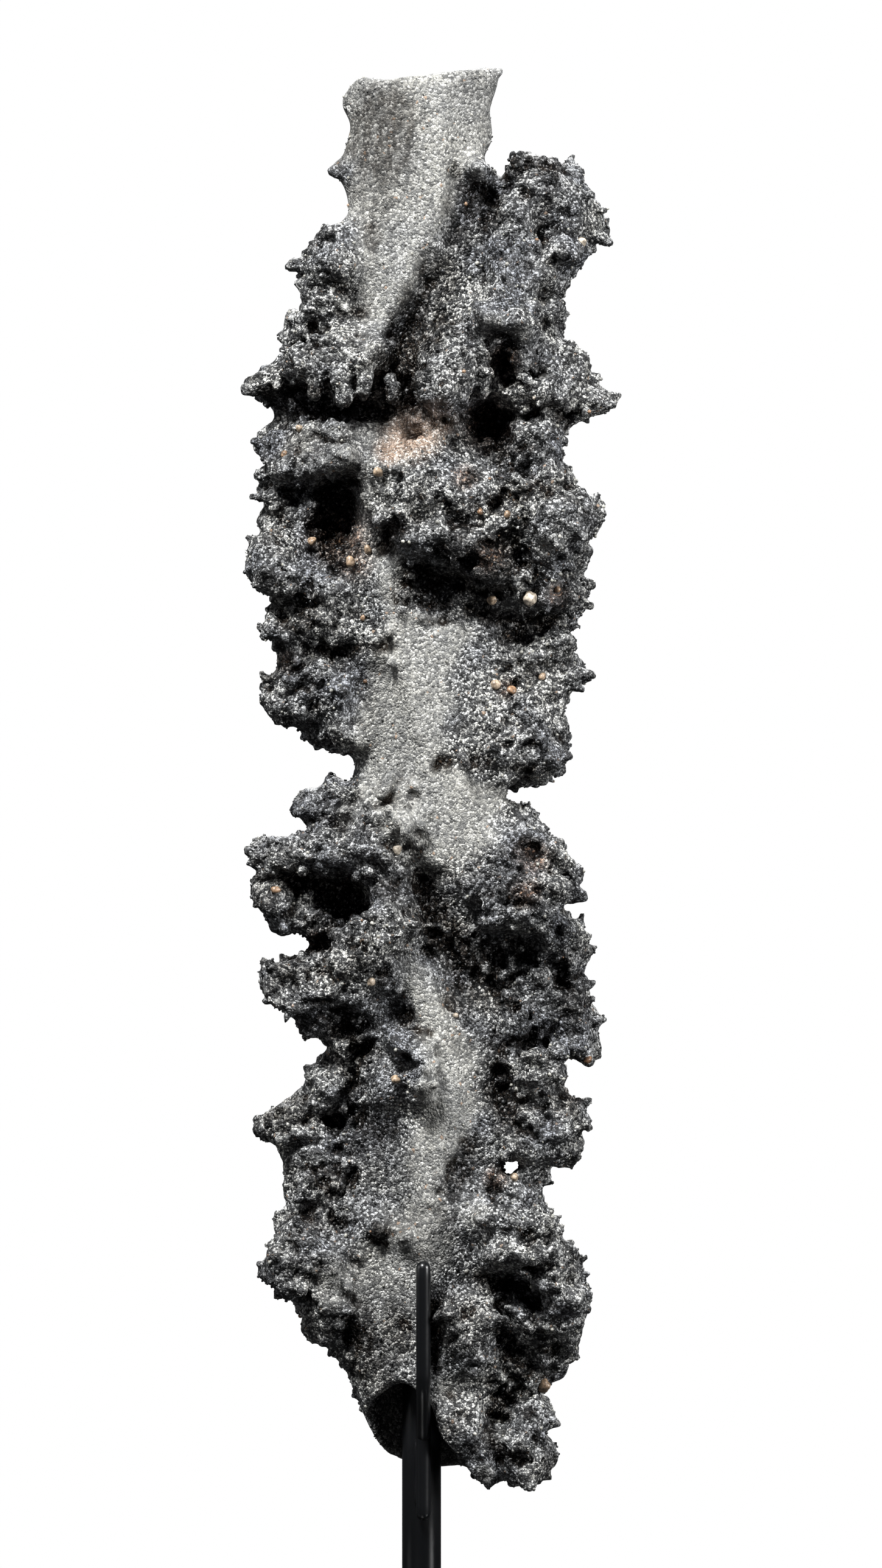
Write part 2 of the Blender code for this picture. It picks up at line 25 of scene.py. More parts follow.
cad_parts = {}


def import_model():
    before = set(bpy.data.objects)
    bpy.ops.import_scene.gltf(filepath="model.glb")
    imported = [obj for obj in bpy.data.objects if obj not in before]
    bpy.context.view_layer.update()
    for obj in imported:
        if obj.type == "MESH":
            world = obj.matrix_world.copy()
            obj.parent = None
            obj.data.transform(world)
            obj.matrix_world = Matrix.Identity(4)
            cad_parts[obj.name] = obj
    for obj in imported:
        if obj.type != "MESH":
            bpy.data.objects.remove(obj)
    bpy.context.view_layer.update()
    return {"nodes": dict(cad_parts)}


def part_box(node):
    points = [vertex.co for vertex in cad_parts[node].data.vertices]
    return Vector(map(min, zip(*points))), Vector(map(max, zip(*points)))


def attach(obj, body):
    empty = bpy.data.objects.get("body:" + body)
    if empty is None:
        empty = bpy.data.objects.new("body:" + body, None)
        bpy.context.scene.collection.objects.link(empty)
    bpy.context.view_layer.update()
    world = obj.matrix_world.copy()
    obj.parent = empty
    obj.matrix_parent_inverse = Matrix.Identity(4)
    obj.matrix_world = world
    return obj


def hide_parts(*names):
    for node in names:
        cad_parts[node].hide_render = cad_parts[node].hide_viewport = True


MM = 0.001
# The height of the stone's lowest tip.
FOOT_Z = 35.5 * MM
UP = Vector((0.0, 0.0, 1.0))
BODY = "root"
LOG = logging.getLogger("fulgurite")
# A random field is a sum of this many sines. Their lengths vary by these factors.
WAVE_COUNT = 7
WAVE_SPREAD = (0.7, 1.6)
WAVE_TOTAL = 3.0
# How strongly a fused skin is smoothed, and above which angle an edge of steel stays sharp.
SOFTENING = 0.4
SHARP_DEGREES = 50.0
Array = np.ndarray
Random = np.random.Generator
Material, Mesh, Object = bpy.types.Material, bpy.types.Mesh, bpy.types.Object
Node, Socket = bpy.types.Node, bpy.types.NodeSocket
Table = tuple[tuple[float, ...], ...]
Surface = tuple[Array, Array]
Stops = tuple[tuple[float, str], ...]
Span = tuple[float, float]
AddNode = Callable[..., Node]


class Slot(Enum):
    """The record's material slots."""

    SAND = "fused_sand"
    PAINT = "black_paint"


class Ball(Enum):
    """How round a small ball is: the subdivisions of its icosphere."""

    GRAIN = 1
    KNOB = 2
    PEBBLE = 3


# --- Small helpers ---


def linear(hex_colour: str) -> tuple[float, float, float, float]:
    """Turn an sRGB hex colour into linear RGBA.

    Args:
        hex_colour: six hexadecimal digits, such as "A0A09B".

    Returns:
        The linear red, green and blue, and an alpha of 1.
    """
    values = [int(hex_colour[i : i + 2], 16) / 255.0 for i in (0, 2, 4)]
    red, green, blue = (
        v / 12.92 if v <= 0.04045 else ((v + 0.055) / 1.055) ** 2.4 for v in values
    )
    return red, green, blue, 1.0


def ramp_up(low: float, high: float, value: Array) -> Array:
    """Return 0 below low, 1 above high and a soft ramp in between."""
    share = np.clip((value - low) / (high - low), 0.0, 1.0)
    return share * share * (3.0 - 2.0 * share)


def column(table: Table, height: Array, index: int) -> Array:
    """Read one column of a table whose rows start with a rising height."""
    rows = np.array(table)
    return np.interp(height, rows[:, 0], rows[:, index])


def set_values(node: Node, values: dict) -> None:
    """Set a node's settings and links, in their order.

    Args:
        node: the node.
        values: what to set, by attribute name, or by input name or number. A socket is linked
            to the input, and so is a node's first output. "stops" are a colour ramp's, as
            (position, sRGB hex colour).
    """
    for name, value in values.items():
        if isinstance(value, Node):
            value = value.outputs[0]
        if isinstance(value, Socket):
            node.id_data.links.new(value, node.inputs[name])
        elif name == "stops":
            elements = node.color_ramp.elements
            while len(elements) < len(value):
                elements.new(1.0)
            for element, (position, colour) in zip(elements, value):
                element.position = position
                element.color = linear(colour)
        elif isinstance(name, str) and hasattr(node, name):
            setattr(node, name, value)
        else:
            node.inputs[name].default_value = value


def add_node(tree: bpy.types.NodeTree, kind: str, values: dict | None = None) -> Node:
    """Add a shader node of a kind, with its settings and links, and return it."""
    node = tree.nodes.new(f"ShaderNode{kind}")
    set_values(node, values or {})
    return node


def new_material(name: str) -> tuple[Material, AddNode, Node]:
    """Start a node material.

    Returns:
        The material, the function that adds a node to it, and its Principled shader.
    """
    material = bpy.data.materials.new(name)
    material.use_nodes = True
    tree = material.node_tree
    return material, partial(add_node, tree), tree.nodes["Principled BSDF"]


def mesh_of(name: str, points: Array, triangles: Array) -> Mesh:
    """Make a smooth-shaded triangle mesh from arrays.

    Args:
        name: the mesh's name.
        points: N x 3 places.
        triangles: M x 3 point numbers.

    Returns:
        The mesh.
    """
    mesh = bpy.data.meshes.new(name)
    mesh.vertices.add(len(points))
    mesh.vertices.foreach_set("co", points.astype(np.float32).ravel())
    mesh.loops.add(triangles.size)
    mesh.loops.foreach_set("vertex_index", triangles.astype(np.int32).ravel())
    mesh.polygons.add(len(triangles))
    mesh.polygons.foreach_set("loop_start", np.arange(0, triangles.size, 3, dtype=np.int32))
    mesh.update(calc_edges=True)
    mesh.shade_smooth()
    return mesh


def add_object(name: str, mesh: Mesh) -> Object:
    """Link a mesh to the scene as a named object."""
    item = bpy.data.objects.new(name, mesh)
    bpy.context.scene.collection.objects.link(item)
    return item


def with_modifiers_applied(item: Object) -> Mesh:
    """Return a new mesh of an object with its modifiers applied, and remove the object."""
    graph = bpy.context.evaluated_depsgraph_get()
    mesh = bpy.data.meshes.new_from_object(item.evaluated_get(graph))
    bpy.data.objects.remove(item, do_unlink=True)
    return mesh


def arrays_of(mesh: Mesh) -> Surface:
    """Return a mesh's points and triangles as arrays."""
    mesh.calc_loop_triangles()
    points = np.empty(len(mesh.vertices) * 3, np.float32)
    mesh.vertices.foreach_get("co", points)
    triangles = np.empty(len(mesh.loop_triangles) * 3, np.int32)
    mesh.loop_triangles.foreach_get("vertices", triangles)
    return points.reshape(-1, 3).astype(float), triangles.reshape(-1, 3)


def set_attribute(mesh: Mesh, name: str, values: Array) -> None:
    """Store one number for each point of a mesh, for its material to read."""
    attribute = mesh.attributes.new(name, "FLOAT", "POINT")
    attribute.data.foreach_set("value", values.astype(np.float32))


def ball_template(ball: Ball) -> Surface:
    """Return the points and triangles of an icosphere of radius 1."""
    bm = bmesh.new()
    bmesh.ops.create_icosphere(bm, subdivisions=ball.value, radius=1.0)
    mesh = bpy.data.meshes.new("ball")
    bm.to_mesh(mesh)
    bm.free()
    return arrays_of(mesh)


def frames_along(normals: Array, rng: Random) -> Array:
    """Make a turn matrix for each normal: Z goes along it, with a random twist.

    Args:
        normals: N x 3 unit vectors.
        rng: the source of the twists.

    Returns:
        N x 3 x 3 matrices whose rows are the new X, Y and Z.
    """
    helper = rng.normal(size=normals.shape)
    across = np.cross(normals, helper)
    across /= np.linalg.norm(across, axis=1, keepdims=True) + 1e-12
    other = np.cross(normals, across)
    return np.stack([across, other, normals], axis=1)


def scattered_balls(ball: Ball, centres: Array, frames: Array, radii: Array) -> Surface:
    """Join one turned and stretched ball for each centre.

    Args:
        ball: how round each one is.
        centres: N x 3 places.
        frames: N x 3 x 3 turn matrices.
        radii: N x 3 radii along the turned axes.

    Returns:
        The points and triangles of all the balls.
    """
    points, triangles = ball_template(ball)
    stretched = points[None, :, :] * radii[:, None, :]
    placed = np.einsum("nvk,nkj->nvj", stretched, frames) + centres[:, None, :]
    offsets = (np.arange(len(centres)) * len(points))[:, None, None]
    return placed.reshape(-1, 3), (triangles[None, :, :] + offsets).reshape(-1, 3)


def tumbled_balls(centres: list, radii: list, rng: Random) -> Surface:
    """Join one ball for each centre, each turned at random."""
    ups = rng.normal(size=(len(centres), 3))
    ups /= np.linalg.norm(ups, axis=1, keepdims=True)
    return scattered_balls(Ball.KNOB, np.array(centres), frames_along(ups, rng), np.array(radii))


# --- Where the stone is smooth, pale, dark or stained ---


def waves(points: Array, length_mm: float, seed: int) -> Array:
    """Return a smooth random field, about -1 to 1, with features of a given length."""
    rng = np.random.default_rng(seed)
    total = np.zeros(len(points))
    for _ in range(WAVE_COUNT):
        turn = rng.normal(size=3)
        size = np.linalg.norm(turn)
        turn *= 2.0 * math.pi / (size * length_mm * MM * rng.uniform(*WAVE_SPREAD))
        total += np.sin(points @ turn + rng.uniform(0.0, 2.0 * math.pi))
    return total / WAVE_TOTAL


@dataclass(frozen=True)
class StoneMap:
    """Says how the stone's surface is at a place, from its form alone, and where shade is painted
    on it.

    The tables hold millimetres. foot_z is the height of the stone's lowest tip.
    """

    foot_z: float
    # The central tube: (height, left side, right side).
    tube: Table = (
        (1, -6, 9), (14, -10, 10), (34, -10.5, 10.5), (54, -9.5, 11.5), (74, -7.5, 12),
        (94, -9, 11.5), (113, -11, 13), (133, -10, 12), (153, -10.5, 11), (173, -10, 9.5),
        (192, -12, 8), (212, -12, 10), (222, -11.5, 11), (230.5, -12.5, 12.5),
    )
    # The pale, fine-grained band up the front: (height, left side, right side, paleness).
    pale_band: Table = (
        (0, -11, -1, 0.2), (18, -11, -3, 0.25), (26, -11, -2, 0.25), (30, -12, 1, 0.6),
        (37, -11, 4, 0.8), (43, -7, 5, 0.8), (50, -2, 3, 0.9), (55, -1.5, 6, 0.95),
        (62, -1, 9.5, 1), (70, -1, 9, 1), (75, -1.5, 7, 1), (80, -2, 3, 0.95),
        (85, -3.5, 0.5, 0.85), (90, -4, -1, 0.3), (97, -6, -1, 0.3), (101, -4, 5, 0.6),
        (105, -4.5, 12, 0.9), (113, -9, 13, 1), (118, -9.5, 4, 1), (125, -9, 3, 1),
        (133, -8, 6, 1), (139, -6, 9, 0.95), (143, -6, -2, 0.85), (150, -8, -3, 0.7),
        (156, -9, -5, 0.4), (162, -18, -6, 0.4), (168, -22, 2, 0.55), (172, -20, 3, 0.6),
        (175, -12, -4, 0), (181, -10, -6, 0.2), (186, -12, -6, 0.5), (191, -11, -3, 0.85),
        (198, -10.5, 0, 0.95), (206, -11, 3.5, 0.95), (213, -13, 6, 1), (217, -14, 11, 1),
        (232, -14, 14, 1),
    )
    # Caves, grooves and undercuts: (x, height, half width, half height, depth, darkness).
    # The darkness is painted shade on the colour. A row with no depth only darkens it, with no
    # carving.
    caves: Table = (
        (10, 207.5, 4, 4, 1.8, 0.85), (5.5, 208, 2, 3, 1, 0.6), (6.5, 202.5, 3, 2.5, 1.2, 0.6),
        (2.5, 197, 3.5, 4, 1.5, 0.75), (0, 191.5, 3.5, 3.5, 2, 0.85), (-2.5, 187, 3.5, 4, 3, 1),
        (-4, 183, 3.5, 2.5, 2, 0.9), (-1, 181, 3, 2, 1.5, 0.75), (-5, 224.5, 3, 1.5, 0, 0.5),
        (-9, 218.5, 3.5, 2.5, 0, 0.55), (-2.5, 213.5, 2, 1.5, 0, 0.35),
        (-8.5, 212, 3.5, 4, 0, 0.45), (16, 215.8, 2, 1.8, 1, 0.9),
        (20.7, 215.2, 1.8, 1.8, 1, 0.95), (20.5, 209.5, 1.2, 4, 0.8, 0.6),
        (15, 199.5, 3, 1.2, 0.8, 0.4), (12.3, 187, 1.2, 1.2, 1, 0.7),
        (-17, 203.5, 3, 1.5, 0.8, 0.55), (-10, 191, 1.8, 1, 0.6, 0.4),
        (-24, 177.5, 3.5, 2.2, 1.5, 0.95), (-19, 177, 4, 3, 2, 0.95),
        (-15.5, 175.5, 3, 1.8, 2, 0.95), (-9.5, 175.5, 4, 1.8, 2, 0.95),
        (-5, 176.5, 3.5, 2.5, 2, 1), (13.5, 170, 2, 3, 2.5, 1), (16.6, 168.6, 1.8, 1.5, 1.5, 0.95),
        (23.5, 175.5, 1.5, 1, 0.8, 0.6), (-23, 173, 2, 1, 0.6, 0.5), (-25, 166, 2, 1.2, 0.6, 0.5),
        (-12, 163, 2.5, 1.5, 1.5, 0.8), (0.5, 160.8, 1.3, 1, 1.2, 0.7),
        (-3.7, 155.4, 2.5, 2, 2, 0.95), (4.5, 152, 3.5, 2, 1.5, 0.85),
        (8.5, 164, 1.5, 1.2, 0.8, 0.6), (23.5, 163, 1.5, 1.2, 0.8, 0.6),
        (-14, 150.5, 2, 2, 1.5, 0.85), (-6, 153, 2.5, 1.5, 1.5, 0.85),
        (-19, 144.5, 2.5, 3, 1.5, 0.9), (3, 143.8, 3.5, 1.5, 1.2, 0.8),
        (13, 152.5, 3.5, 2.5, 1.5, 0.9), (12, 146, 3, 2, 1.2, 0.8), (9, 142, 3, 1.5, 1.5, 0.85),
        (-10, 136.3, 6, 1.3, 1.5, 0.85), (-22, 140, 2, 1.5, 1, 0.8),
        (-22.5, 133, 2, 1.2, 0.8, 0.6), (-17, 127, 2, 1.5, 0.8, 0.5),
        (-21, 123.8, 3, 1.2, 0.8, 0.7), (-15.5, 121.3, 4, 1, 0.8, 0.8),
        (-8.5, 129.5, 1.5, 4, 0, 0.35), (14, 133.5, 2, 1.5, 0.8, 0.6), (3, 118, 2, 1.3, 1, 0.85),
        (9.5, 117.5, 3.5, 1.5, 1, 0.8), (8, 123.5, 2.5, 1.5, 0.6, 0.45),
        (13, 121.5, 3, 1.5, 0.6, 0.45), (16.8, 104.3, 3, 2, 2.5, 1), (21.5, 106, 2, 1, 0.8, 0.6),
        (-5.5, 112, 1.2, 1, 0.8, 0.6), (-22, 110, 2, 1, 0.8, 0.5), (-10, 108, 1.5, 1, 0.6, 0.4),
        (-19, 98.5, 4, 1.8, 1.5, 0.95), (-13.5, 96, 4.5, 4, 3, 1), (-15.5, 92, 3, 2, 1.5, 0.9),
        (-17, 89, 3, 2, 1.5, 0.95), (-22.5, 93, 2.5, 1.2, 0.8, 0.6), (0.5, 97.5, 2.2, 2.5, 2, 1),
        (2.5, 93, 3, 3.5, 2, 1), (4.5, 88, 4, 3.5, 2.5, 1), (6.5, 83.5, 3.5, 3, 2.5, 1),
        (10.5, 85.5, 3.5, 2.5, 2, 0.95), (10, 80, 3.5, 1.8, 1.5, 0.85),
        (23.7, 83, 1.8, 2.5, 1.5, 0.95), (26, 79.5, 1.5, 1.5, 1, 0.8), (9, 99.3, 2, 1, 0.8, 0.5),
        (10.5, 97, 2, 1.2, 1, 0.7), (5, 99.5, 3, 1.2, 0.6, 0.5), (14, 78.5, 2.5, 1.2, 0.8, 0.6),
        (-5.7, 83, 1.8, 1.8, 1, 0.9), (-21, 84, 3, 2, 0.6, 0.5), (-24.5, 82, 1.5, 1.2, 0.6, 0.6),
        (-14, 84, 4, 2, 0.5, 0.45), (-10, 88, 2, 1, 0.6, 0.5), (-17, 79, 3, 1.2, 1, 0.8),
        (-20, 76, 2, 1, 0.8, 0.7), (-9.5, 71.5, 2.5, 3, 1.2, 0.85),
        (-2.5, 76.5, 1.5, 1.5, 0.8, 0.6), (-10, 66.5, 2, 2, 1, 0.6), (12, 65.5, 2, 6, 1.5, 0.9),
        (15.5, 72.5, 3, 1.5, 1, 0.8), (18, 74, 2, 1, 0.8, 0.6), (-7, 58, 3.5, 2.5, 1.5, 0.9),
        (-20, 63.5, 2.5, 1, 0.8, 0.6), (-18, 52, 3, 1.2, 1, 0.7), (-12, 54.5, 3, 1, 0.8, 0.6),
        (4, 48.5, 2.2, 1.6, 1, 0.8), (12, 48.5, 1.5, 1.7, 2.5, 1), (-19, 44, 3, 1, 0.8, 0.7),
        (-13, 43.5, 2.5, 1, 0.8, 0.7), (-6.5, 41.5, 2.8, 1.6, 1.2, 0.9), (-21, 41, 2, 1, 0.8, 0.5),
        (-21, 35, 1.5, 1, 0.8, 0.6), (-22, 31.5, 2, 1, 0.8, 0.6), (-17.5, 31, 2, 1, 0.6, 0.5),
        (-10.2, 25, 2.6, 5, 2, 1), (-10, 19.5, 2, 2, 1, 0.8), (-2.4, 26.3, 1.2, 1.6, 1, 0.95),
        (2.3, 25.5, 1.4, 6.5, 1.2, 0.95), (-13.5, 27, 2, 2.5, 0.6, 0.5),
        (13.8, 22, 1.8, 3, 1.5, 0.95), (21, 23, 2, 1.8, 1.2, 0.95),
        (10.5, 34.5, 2.5, 0.9, 0.8, 0.6), (8, 30.5, 2, 1, 0.8, 0.5), (8, 24, 3, 4, 0, 0.3),
        (5, 22.5, 1.5, 3, 0.5, 0.5), (16.5, 19.5, 2, 1.2, 0.8, 0.7), (22.5, 30, 2, 1.5, 0.8, 0.5),
        (19, 36.5, 1.5, 1, 0.8, 0.5), (13, 15, 2.3, 2.5, 1.8, 1), (17, 12.5, 1.6, 1.3, 1.2, 0.9),
        (4.5, 15.5, 1.5, 1.2, 0.6, 0.5), (8, 6.8, 1.6, 1.5, 1.2, 0.85), (15, 5, 2.4, 2, 1.5, 1),
        (18.5, 8.5, 1.5, 1, 0.8, 0.6), (11, 9.5, 1.3, 1, 0.8, 0.5), (19, 3, 1.5, 1, 0.8, 0.6),
        (10, 18, 1.5, 1, 0.8, 0.6), (-5.5, 97.5, 3, 2.2, 1, 0.85), (-24.5, 61, 3, 3, 0.5, 0.75),
        (0.2, 74, 1.8, 1.8, 1, 0.85), (24, 62.5, 2.5, 2, 0.3, 0.75),
        (-13.5, 76, 4.3, 2.2, 1.5, 0.95), (-25, 132, 2, 2.5, 0.5, 0.7),
        (6.5, 155.5, 2.5, 2.5, 1.5, 0.9), (6.5, 79, 3, 2.3, 1.5, 0.9), (-13, 216, 1.6, 3, 0, 0.6),
        (1, 187.5, 3, 4, 2, 0.95), (25.5, 38, 1.8, 2.5, 0.3, 0.7), (17, 116.7, 4, 1, 1, 0.85),
        (-3, 24, 1.6, 4, 0.3, 0.7), (-6, 22.5, 3.5, 5.5, 0, 0.6), (24.5, 79.5, 2.5, 2.2, 1, 0.85),
        (6.3, 12.5, 2.2, 1.5, 1.2, 0.9), (-8, 205, 1.8, 3, 0, 0.4), (15.5, 62.5, 2, 1.8, 1, 0.8),
        (-12, 60, 5, 1.6, 1.5, 0.9), (7, 31.5, 4.5, 3.5, 0, 0.4), (10.7, 173, 4, 3, 3, 1),
        (15.3, 56, 1.5, 1, 0.6, 0.5), (-4, 101.5, 2, 1, 0.5, 0.5), (8.8, 210.5, 3, 2, 1.5, 0.85),
        (-1.5, 177.5, 2.5, 2.5, 2, 0.9), (16, 46.5, 1, 0.8, 0.6, 0.6), (20.7, 215, 2.2, 2.2, 1, 1),
        (15.5, 215.5, 2.3, 2, 1, 1), (18.5, 217, 3, 1, 0, 0.7), (-10, 85.5, 2.5, 2, 0.5, 0.6),
        (-28, 98, 2, 3, 0.3, 0.6), (-22.5, 85, 4, 2.5, 0.4, 0.7), (-27, 157.5, 1.8, 3, 0.3, 0.6),
        (4.8, 10.5, 2, 1.8, 0.6, 0.75), (14.2, 149.5, 3, 2.2, 1, 0.85),
        (-28, 181, 2, 1.5, 0.3, 0.7), (11.5, 72, 1.8, 2, 1, 0.8), (-3.5, 144.5, 2, 2, 0.5, 0.4),
        (12, 78.5, 4, 1.5, 1, 0.85), (24, 77.5, 3, 1.5, 0.8, 0.7), (-24, 104, 4, 2, 0.3, 0.45),
        (-15, 106, 4, 1.2, 0.4, 0.45), (-25, 147.5, 2.5, 1.5, 0.5, 0.6),
        (-21, 63.5, 3, 1, 0.3, 0.5), (-25.5, 60, 2.5, 2.5, 0.3, 0.75), (-22, 38, 3.5, 3, 0, 0.4),
        (-24.5, 34.5, 2, 2.5, 0.3, 0.5), (-12, 35.5, 3, 1.5, 0, 0.35), (-8, 50, 4, 4, 0, 0.3),
        (-10, 55.5, 4, 2, 0.3, 0.55), (3, 31, 2, 4, 0.2, 0.35), (12.5, 12.5, 2, 1.5, 1, 0.8),
        (20.8, 4.5, 1.3, 2.5, 0.4, 0.6), (17, 18.5, 3, 1.2, 0.8, 0.8),
        (27.5, 158, 1.5, 2, 0.3, 0.6), (24, 184, 3, 2, 0, 0.3), (31, 178, 2, 1, 0, 0.4),
        (8.5, 170, 2.5, 1.5, 0.5, 0.5), (19.5, 162.5, 3, 1, 0.8, 0.75),
        (-18.5, 171.5, 3, 1.5, 0, 0.35), (2.5, 188.5, 2.5, 3, 1, 0.7),
        (5, 205.5, 1.5, 3, 0.4, 0.4), (-12, 194, 2.5, 1.2, 0.3, 0.45),
        (-10.5, 186.5, 2, 1.2, 0.5, 0.5), (22, 216, 1.5, 1, 0, 0.8), (14, 139, 2.5, 1.5, 0.8, 0.6),
        (24, 121, 1.3, 4, 0, 0.3), (13.7, 184, 1.8, 2.6, 0.8, 0.9), (-14, 50.5, 4.5, 2.5, 1, 0.75),
        (-24, 62.5, 3.5, 2.5, 0.3, 0.85), (16, 161.7, 4, 1.3, 1, 0.8),
        (-1.8, 94.5, 1.6, 2, 0.8, 0.7), (-18.5, 141.5, 2.5, 2, 1, 0.85),
        (-24, 153.5, 2.5, 2, 0.5, 0.6), (21.5, 214, 2, 2, 1, 0.95),
        (-20.8, 112.2, 2, 1.5, 0.5, 0.6), (-6, 53, 5, 5, 0, 0.35), (-3, 43, 3, 3, 0, 0.35),
        (4, 45, 2, 2, 0.3, 0.45), (-8.5, 21.5, 2.5, 5, 0.5, 0.75), (-4.2, 26, 1.8, 4, 0.3, 0.55),
        (-20, 170, 6, 2, 0, 0.4), (-7, 209, 3.5, 4, 0, 0.45), (-8, 203, 2, 3, 0.2, 0.65),
        (14.5, 99, 3, 1.5, 0.5, 0.5), (8, 73, 4, 2.5, 0, 0.35), (8, 29.5, 4, 2.5, 0, 0.35),
        (22.5, 173, 2, 1, 0.5, 0.6), (-5, 104.5, 2, 1, 0.3, 0.4), (24, 160.5, 2, 1, 0.4, 0.5),
        (7, 208.5, 2, 3.5, 1, 0.6), (4.5, 141.3, 4, 1.2, 1, 0.6), (-19.8, 60.3, 3, 1.5, 0.5, 0.75),
        (-11, 152.5, 2, 1.5, 1, 0.8), (-20, 168, 4, 1.5, 0, 0.4), (-25, 96, 2, 2, 0.4, 0.65),
        (19, 214.8, 3, 2, 0.8, 0.85), (7.5, 228, 4, 3, 0, 0.2), (-13.8, 160.5, 3.8, 3, 3, 1),
        (-16, 156.5, 2.6, 3, 3, 0.95), (-24, 158.5, 2.5, 4, 0.4, 0.3),
        (-14.2, 152.2, 2, 3.6, 2, 0.95), (7, 148.5, 4, 3.2, 1.4, 0.75),
        (0.5, 147.5, 4.2, 2.6, 1.6, 0.85), (13, 141.2, 5, 1.4, 1.6, 0.85),
        (19, 141, 3.5, 1.4, 1, 0.75), (14, 32.7, 3.6, 1.1, 1.6, 0.95), (12.6, 26, 1, 5, 1.5, 0.9),
        (17.8, 30.6, 1.6, 1, 1, 0.85), (18, 26, 1.8, 1.6, 0, 0.5), (-6.3, 220, 6, 9.5, 0, 0.78),
        (8.3, 55.5, 2.3, 2.4, 1.5, 1), (6, 51.5, 3, 2.8, 1.5, 1), (13.3, 60, 2.4, 3, 0.8, 0.6),
        (17, 57.5, 2.6, 1.8, 0.5, 0.5), (-0.8, 98.5, 1.8, 3, 0, 0.95), (0.8, 93.5, 2.2, 3.5, 0, 1),
        (3.5, 90, 3, 3.5, 0, 1), (5.8, 86.5, 2.5, 3, 0, 1), (15, 95.8, 1.8, 1.2, 0.5, 0.8),
        (14.2, 160.9, 1.8, 1.4, 0.8, 0.75), (14.4, 213.8, 1.8, 1.5, 0.8, 0.75),
        (-22.3, 62.6, 3, 1.5, 0.5, 0.7), (-21, 85, 2, 1.3, 0.6, 0.7),
        (-13, 89.8, 2, 1.4, 0.8, 0.75), (-17.5, 185.3, 1.8, 1.4, 0.8, 0.7),
        (14.4, 60.1, 1.6, 1.6, 0.8, 0.8), (7.7, 28.9, 1.8, 1.8, 0.8, 0.65),
        (-17, 42.4, 2, 1.5, 0.8, 0.7), (-18, 202.1, 1.8, 1.4, 0.8, 0.7),
        (-12.8, 217.8, 1.6, 1.6, 0.6, 0.7), (-22, 58.3, 1.8, 1.4, 0.5, 0.6),
        (9.7, 53.1, 1.4, 1.4, 0.6, 0.7), (-6.6, 98.5, 1.6, 1.4, 0.8, 0.7),
        (9.9, 168.6, 1.6, 1.6, 0.8, 0.8), (-24, 182.6, 1.6, 1.4, 0.4, 0.6),
        (-14.5, 196.6, 1.8, 1.5, 0.8, 0.65), (-3.8, 41.2, 1.5, 1.4, 0.4, 0.55),
        (-9.1, 28.4, 1.8, 1.6, 0.6, 0.6), (24.4, 39.6, 1.5, 1.4, 0.3, 0.55),
        (21.6, 215.5, 1.6, 1.4, 0.6, 0.7), (19.3, 217, 1.5, 1.3, 0.5, 0.75),
        (10, 87.6, 4.5, 1.7, 0, 0.85), (16, 88, 3.5, 1, 0, 0.6), (-14, 32, 7.5, 7, 0, 0.22),
        (1, 41, 6, 5, 0, 0.2), (19, 212, 7, 7, 0, 0.2), (-9, 28.4, 2.5, 2.5, 0, 0.5),
        (10, 29.4, 2, 2, 0, 0.45),
    )
    # Places that stand further out: (x, height, half width, half height, rise).
    swells: Table = (
        (14.5, 37.5, 6, 3.2, 4.5), (20.5, 36, 5, 4, 4), (22.5, 29, 4, 5, 3),
        (-15, 28, 5, 4.5, 3.6), (20.5, 152, 4.5, 6, 5.5), (24.5, 154, 3, 4, 3),
        (-13.5, 166.5, 7, 2.3, 5), (-22.5, 165.5, 5, 3, 2.5), (18.5, 68, 5, 3, 5),
        (17, 92.3, 7, 2.6, 5), (12.5, 92.3, 3.5, 2.3, 4.5), (20.5, 89, 3.5, 3, 3),
        (18.5, 177.5, 6, 2.8, 4.5), (23, 201, 4, 3, 5.5), (20, 197, 3, 3, 4),
        (0.6, 66.5, 2.5, 3.5, 3), (-2.5, 109, 3.5, 3, 3), (-4, 113.5, 3, 2, 2),
        (-12.5, 110.5, 3.5, 2.5, 2.5), (10.5, 180, 3, 3, 3.5), (4, 177.5, 3.5, 3, 3),
        (15.5, 189.5, 4, 3, 4), (10, 189.5, 4, 3, 4), (19.5, 187, 3, 3, 2.5),
        (-6.8, 184, 2.6, 3.2, 4), (-13, 127.5, 3, 4.5, 3), (-13.5, 122.8, 4, 1.6, 3),
        (-14, 197.3, 4.5, 2.4, 3), (2.5, 171.5, 3, 3, 2), (-7, 88, 3, 2.5, 1.5),
        (-5.5, 158, 2.5, 2, 1.5), (21, 124, 5, 5, 1), (11, 156.5, 4, 2.5, 3),
        (20, 158, 4, 2.5, 2.5), (22.5, 164, 3, 3, 2.5), (14, 114, 3, 2, 2),
        (-17.5, 90.5, 2.5, 1.8, 2), (-16, 46, 4, 2.4, 3), (-10, 78, 3, 2, 2.5),
        (22.5, 55.5, 3.5, 3, 2), (19.5, 83.5, 3, 2, 2), (9, 214.5, 2.5, 2, 3),
        (-14.5, 138, 4, 2, 1.5), (8, 25, 3, 4, 0.8),
    )
    # Pale patches beside the band: (x, height, radius).
    pale_spots: Table = (
        (8, 45.5, 3.5), (4, 16.5, 2.2), (12.5, 8.5, 2.5), (10.5, 2.6, 2), (-12, 168, 4.5),
        (-4, 169.5, 4.5), (-18, 170, 3), (-13, 33.5, 6), (-12, 110, 3), (11.5, 188.6, 2.6),
        (16.2, 187, 2), (20, 152.5, 2), (21.5, 146, 1.8), (18.3, 64.3, 1.6), (9, 213.2, 2),
    )
